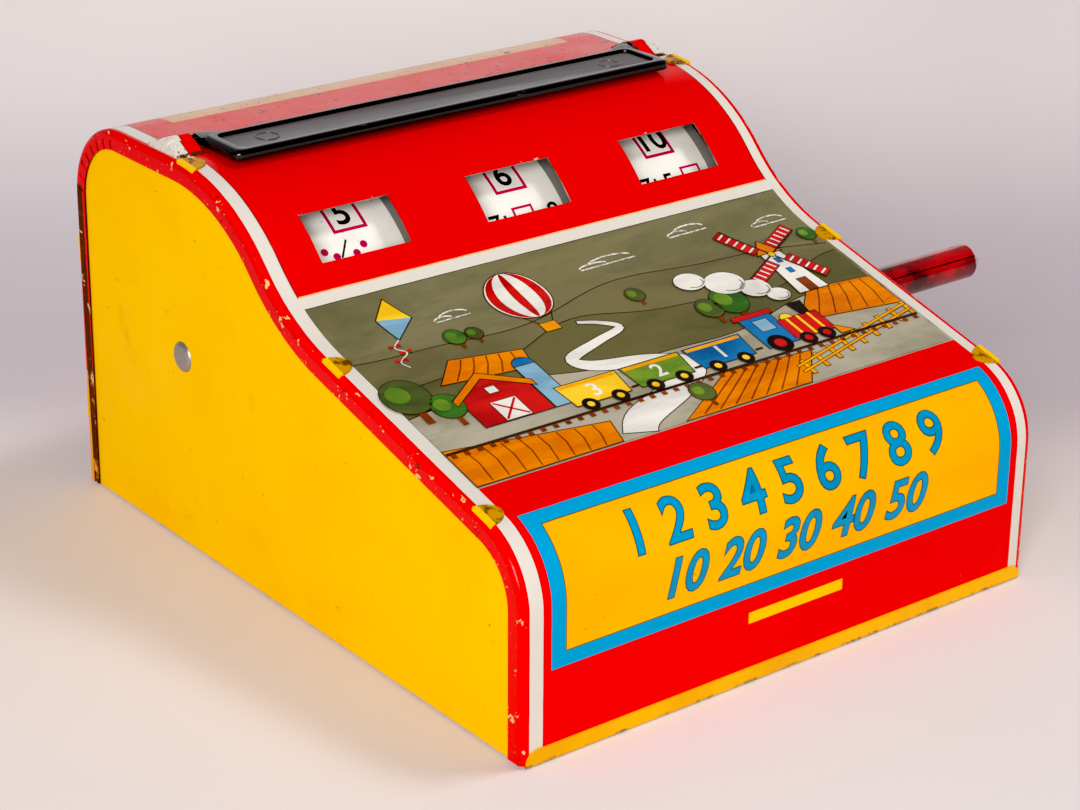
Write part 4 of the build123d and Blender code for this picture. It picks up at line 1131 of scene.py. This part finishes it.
def wheel_print(name, middle, kind):
    """Boxed answers and the sums below them, twelve times round a band."""
    p = Print("print_wheel_" + name, on_wheel, "drum", "band_white")
    step = radians(WHEEL_STEP) * WHEEL_RADIUS
    for entry in range(12):
        first, second, answer = sum_for(kind, entry)
        above = (entry + 1) * step + ANSWER_ROW
        p.square(middle + 3.5, above, 11.3, 1.0, "magenta")
        p.text(str(answer), middle + 3.3, above + 0.2, 8.0, "black", bold=0.16)
        row = entry * step + QUESTION_ROW
        if kind == "dots":
            dot_group(p, middle - 6.1, row + 3.6, first, radians(147))
            p.stroke([(middle + 0.4, row + 6.9), (middle - 3.1, row + 1.9)], 0.6, "black")
            dot_group(p, middle + 3.5, row + 3.4, second, radians(33))
            continue
        marks = [(str(first), -6.8), ("+", -3.0)]
        if kind == "missing":
            box = 3.75
            marks += [("=", 9.6), (str(first + second), 13.9)]
        else:
            box = 11.05
            marks += [(str(second), 2.0), ("=", 5.6)]
        for words, across in marks:
            p.text(words, middle + across, row, 6.0, "black", bold=0.1)
        p.square(middle + box, row + 0.7, 7.2, 0.75, "magenta")
    return p.lay(step=1.6, ground=0.03, layer_height=0.03)


def sum_for(kind, entry):
    """The two numbers of a band's sum and the answer that its box shows."""
    first, second = (entry * 5 + 6) % 9 + 1, (entry * 7 + 4) % 8 + 1
    if kind == "missing":
        second = (entry * 7 + 8) % 8 + 1
        return first, second, second
    if kind == "dots":
        first, second = 2 + entry % 3, 1 + (entry + 1) % 3
    return first, second, first + second


def dot_group(p, x, y, count, start):
    """A ring of dots about a point."""
    radius, size = 1.9, 2.3
    for angle in (start + 2 * pi * dot / count for dot in range(count)):
        dot = oval(x + radius * cos(angle), y + radius * sin(angle), size, size, steps=16)
        p.shape(dot, "magenta")


# The flap and the ears, in their full shape

class Form:
    """Mesh of lofted rings of points, given in millimetres with Y from the front."""

    def __init__(self, name, material):
        self.mesh = bmesh.new()
        self.data = bpy.data.meshes.new(name)
        self.data.materials.append(material)

    def ring(self, points):
        return [self.mesh.verts.new((x * MM, (y - HALF_DEPTH) * MM, z * MM)) for x, y, z in points]

    def skin(self, low, high, closed=True):
        """Faces between two rings."""
        count = len(low)
        for place in range(count if closed else count - 1):
            after = (place + 1) % count
            self.mesh.faces.new((low[place], low[after], high[after], high[place]))

    def loft(self, rings):
        """Closed body through rings, with both ends filled."""
        rings = [self.ring(points) for points in rings]
        for low, high in zip(rings, rings[1:]):
            self.skin(low, high)
        self.mesh.faces.new(rings[0][::-1])
        self.mesh.faces.new(rings[-1])

    def done(self, body, slot):
        """The finished object, with its normals outward."""
        bmesh.ops.recalc_face_normals(self.mesh, faces=self.mesh.faces)
        self.mesh.to_mesh(self.data)
        self.mesh.free()
        soften(self.data, FORM_EDGE)
        return piece_of(self.data, body, slot)


def tray_ring(sides, front, rear, corner, z):
    """Rounded rectangle inside the flap's outline, at margins from its edges."""
    half = FLAP_HALF - sides
    low, high = FLAP_FRONT + front, FLAP_REAR - rear
    middles = (
        (half - corner, high - corner), (corner - half, high - corner),
        (corner - half, low + corner), (half - corner, low + corner),
    )
    steps = 6
    return [
        (x + corner * cos(turn), y + corner * sin(turn), z)
        for quarter, (x, y) in enumerate(middles)
        for turn in ((quarter + step / steps) * pi / 2 for step in range(steps + 1))
    ]


def tray_rings():
    """Rings of the flap's tray, from the middle of its underside round to the recess."""
    sides, front, rear = FLAP_RIM
    lip, edge, brim, root = 0.5, 1.3, 0.35, 0.3
    chamfer, foot_corner, recess_corner = 0.4, 1.8, 2.3
    rings = [tray_ring(sides, front, rear, 1.6, FLAP_BOTTOM + lip)]
    foot = [rim - chamfer for rim in FLAP_RIM]
    rings.append(tray_ring(*foot, foot_corner, FLAP_BOTTOM))
    for turn in (step * pi / 6 for step in range(4)):
        inset = lip * (1 - sin(turn))
        rise = FLAP_BOTTOM + lip * (1 - cos(turn))
        rings.append(tray_ring(inset, inset, inset, FLAP_CORNER - inset, rise))
    # The outer bead is widest at the flap's ends and narrowest along its rear
    for turn in (step * pi / 12 for step in range(7)):
        inset = edge * (1 - cos(turn))
        rise = FLAP_TOP - edge * (1 - sin(turn))
        rings.append(tray_ring(inset * 1.9, inset, inset * 0.8, FLAP_CORNER - inset * 0.7, rise))
    for turn in (step * pi / 6 for step in range(4)):
        inset = brim * (1 - sin(turn))
        fall = FLAP_TOP - brim * (1 - cos(turn))
        rings.append(tray_ring(sides - inset, front - inset, rear - inset, recess_corner + inset, fall))
    for turn in (step * pi / 6 for step in range(4)):
        inset = root * (1 - cos(turn))
        fall = FLAP_FLOOR + root * (1 - sin(turn))
        rings.append(tray_ring(sides + inset, front + inset, rear + inset, recess_corner - inset, fall))
    return rings


def lug_rings(side):
    """Rings of a lug that swells from the tray's rear edge to the pin."""
    rings = []
    root = FLAP_REAR - 0.6
    inside = FLAP_REAR - 1.2
    for share, swell in ((0.0, 0.1), (0.25, 0.3), (0.5, 0.62), (0.75, 0.9), (0.92, 1.0), (1.0, 0.9)):
        x = side * (LUG_FOOT + (FLAP_HALF - LUG_FOOT) * share)
        points = [(x, inside, FLAP_BOTTOM + 0.4), (x, inside, FLAP_TOP - 0.5)]
        for turn in (radians(96 - 24 * step) for step in range(9)):
            y = root + swell * (PIN.x + LUG_RADIUS * cos(turn) - root)
            z = PIN.y + LUG_RADIUS * sin(turn) * (0.62 + 0.38 * swell)
            points.append((x, y, z))
        rings.append(points if side > 0 else points[::-1])
    return rings


def pin_rings(side):
    """Rings of a pin with a chamfered end."""
    root, chamfer, tip = FLAP_HALF - 1, 0.3, 1.0
    return [
        [
            (side * x, PIN.x + radius * cos(turn), PIN.y + radius * sin(turn))
            for turn in (step * pi / 10 for step in range(20))
        ]
        for x, radius in ((root, PIN_RADIUS), (PIN_END - chamfer, PIN_RADIUS), (PIN_END, tip))
    ]


def mould_mark(form, x):
    """A thin round mark left by the mould in the recess."""
    outer, inner, chamfer = 3.5, 3.04, 0.08
    sunk, top = FLAP_FLOOR - 0.1, FLAP_FLOOR + 0.15
    middle = (FLAP_FRONT + FLAP_REAR) / 2 + 0.4
    turns = [step * pi / 24 for step in range(48)]
    rings = [
        form.ring([(x + radius * cos(turn), middle + radius * sin(turn), z) for turn in turns])
        for radius, z in ((outer, sunk), (outer - chamfer, top), (inner + chamfer, top), (inner, sunk))
    ]
    for low, high in zip(rings, rings[1:] + rings[:1]):
        form.skin(low, high)


def moulded_flap():
    """Answer flap: a shallow tray with bead rims, lugs, pins and its mould marks."""
    form = Form("flap_tray", nodes["answer_flap"].data.materials[0])
    form.loft(tray_rings())
    for side in (-1, 1):
        form.loft(lug_rings(side))
        form.loft(pin_rings(side))
        mould_mark(form, side * MARK_ACROSS)
    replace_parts(form.done("flap", "flap_plastic"), "answer_flap")


def ear_height(x, y):
    """Height of an ear's dome over the case's top, x from the middle and y from the front."""
    rise = 2 * EAR_ARCH * 1.12
    clear = EAR_ARCH * 0.1
    front = rise / (PIN.x - EAR_FRONT - clear) * (y - EAR_FRONT)
    rear = rise / (EAR_REAR - PIN.x - clear) * (EAR_REAR - y)
    arch = min(front, rear)
    away = abs(y - PIN.x)
    if away < EAR_ARCH:
        arch = min(arch, PIN.y - CASE_TOP + sqrt(EAR_ARCH**2 - away**2))
    share = max(0.0, (x - EAR_OUTER + EAR_ROUND) / EAR_ROUND)
    crown = 2 * EAR_ARCH * sqrt(max(0.0, 1 - share**2))
    if min(arch, crown) <= 0:
        return 0.0
    return (arch**-EAR_BLEND + crown**-EAR_BLEND) ** (-1 / EAR_BLEND)


def ear_grid(form, side, lift):
    """Lines of points over an ear, from its mouth outward, each from the front to the rear."""
    across, along = 14, 36
    rows = [EAR_FRONT + (EAR_REAR - EAR_FRONT) * row / along for row in range(along + 1)]
    grid = []
    for line in range(across + 1):
        x = EAR_INNER + (EAR_OUTER - EAR_INNER) * line / across
        grid.append(form.ring([(side * x, y, CASE_TOP + ear_height(x, y) + lift) for y in rows]))
    return grid


def ear_dome(name, side, material):
    """Pressed dome over a pin, open towards the flap."""
    form = Form(name, material)
    clearance, sheet = 0.05, 0.3
    upper = ear_grid(form, side, clearance)
    lower = ear_grid(form, side, clearance - sheet)
    for grid in (upper, lower):
        for low, high in zip(grid, grid[1:]):
            form.skin(low, high, closed=False)
    for end in (0, -1):
        form.skin(upper[end], lower[end], closed=False)
        form.skin([line[end] for line in upper], [line[end] for line in lower], closed=False)
    form.done("case", "case_print")


# Stage

def paper():
    """Pale paper with painted shade: a darker band behind the object and a painted shadow to its right.
    """
    m = Finish("paper_sweep", Roughness=0.85, Specular_IOR_Level=0.1)
    tone = m.mix(m.ramp(m.noise(3, 3), 0.3, 0.7), linear(234, 226, 223), linear(229, 221, 218))
    way_x, way_y = VIEW_WAY
    away = m.math("ADD", m.math("MULTIPLY", m.x, way_x), m.math("MULTIPLY", m.y, way_y))
    aside = m.math("SUBTRACT", m.math("MULTIPLY", m.x, way_y), m.math("MULTIPLY", m.y, way_x))
    # Painted shade: a darker band across the paper just behind the object.
    painted_shade_band = m.math("SUBTRACT", m.ramp(away, 0.04, 0.11), m.ramp(away, 0.22, 0.36))
    tone = m.mix(painted_shade_band, tone, linear(210, 201, 204))
    # Painted shadow: the paper to the right of the object is darker.
    painted_shadow_right = m.both(m.ramp(aside, 0.04, 0.19), m.ramp(away, -0.07, 0.03))
    m.set(Base_Color=m.mix(painted_shadow_right, tone, linear(238, 236, 238), "MULTIPLY"))
    return m.data


def sweep_profile():
    """Floor, a curve up behind the object, and a curve back to a level plateau."""
    turns = [SWEEP_SLOPE * step / SWEEP_STEPS for step in range(1, SWEEP_STEPS + 1)]
    profile = [(-SWEEP_HALF, 0), (SWEEP_START, 0)]
    profile += [
        (SWEEP_START + SWEEP_BEND * sin(turn), SWEEP_BEND * (1 - cos(turn))) for turn in turns
    ]
    far = SWEEP_START + (SWEEP_BEND + SWEEP_CREST) * sin(SWEEP_SLOPE)
    high = (SWEEP_BEND + SWEEP_CREST) * (1 - cos(SWEEP_SLOPE))
    profile += [
        (far - SWEEP_CREST * sin(turn), high - SWEEP_CREST * (1 - cos(turn)))
        for turn in turns[-2::-1] + [0.0]
    ]
    return profile + [(SWEEP_HALF, high)]


def paper_sweep():
    """The paper on which the object stands, turned to face the camera."""
    mesh = bpy.data.meshes.new("sweep")
    grown = bmesh.new()
    rows = [
        [grown.verts.new((x, y, z - SWEEP_DROP)) for x in (-SWEEP_HALF, SWEEP_HALF)]
        for y, z in sweep_profile()
    ]
    for low, high in zip(rows, rows[1:]):
        face = grown.faces.new((low[0], low[1], high[1], high[0]))
        face.smooth = True
    grown.transform(Matrix.Rotation(-VIEW_TURN, 4, "Z"))
    grown.to_mesh(mesh)
    grown.free()
    mesh.materials.append(paper())
    floor = added("sweep", mesh)


def studio():
    """Dim world, a soft key, a weak light overhead, and a card that only shows in reflections."""
    world = bpy.data.worlds.new("studio")
    world.use_nodes = True
    background = world.node_tree.nodes["Background"]
    background.inputs["Color"].default_value = (0.92, 0.88, 0.92, 1)
    background.inputs["Strength"].default_value = 0.34
    bpy.context.scene.world = world
    soft_light("key", (-1.3, -1.25, 0.8), (0, 0, 0.05), size=0.8, power=32)
    soft_light("overhead", (0.45, -0.3, 1.15), (0, 0, 0.03), size=0.3, power=5, glossy=False)
    soft_light("card", (0.78, 1.0, 0.5), (0, 0, 0.117), size=0.8, power=1.6, diffuse=False)


def soft_light(name, place, target, size, power, glossy=True, diffuse=True):
    """Square area light aimed at a point, which can be kept to reflections or out of them."""
    light = bpy.data.lights.new(name, "AREA")
    light.size = size
    light.energy = power
    holder = added(name, light)
    holder.location = place
    holder.visible_glossy = glossy
    holder.visible_diffuse = diffuse
    aim = Vector(target) - Vector(place)
    holder.rotation_euler = aim.to_track_quat("-Z", "Y").to_euler()


def photo_camera():
    """Camera at the photograph's place and lens."""
    lens = bpy.data.cameras.new("photo")
    lens.sensor_width = 36.0
    lens.lens = CAMERA_LENS
    lens.clip_start = 0.05
    back = CAMERA_RIGHT.cross(CAMERA_UP)
    turn = Matrix((CAMERA_RIGHT, CAMERA_UP, back)).transposed()
    holder = added("photo", lens)
    holder.rotation_euler = turn.to_euler()
    holder.location = CAMERA_PLACE
    bpy.context.scene.camera = holder


def print_like_view():
    """Plain tones, with the deep blacks of a studio photograph."""
    view = bpy.context.scene.view_settings
    view.view_transform = "Standard"
    view.use_curve_mapping = True
    view.curve_mapping.black_level = (BLACK_LEVEL,) * 3
    view.curve_mapping.update()


photo_camera()
paper_sweep()
studio()
print_like_view()
dress_nodes()
moulded_flap()
pressed = ear_print()
for name, side in (("ear_left", -1), ("ear_right", 1)):
    ear_dome(name, side, pressed)
for draw in (hills, fields, trees, barn, windmill, train, balloon, title_numerals):
    draw()
for name, kind in (("left", "dots"), ("centre", "missing"), ("right", "sum")):
    wheel_print(name, WHEEL_MIDDLES[name], kind)
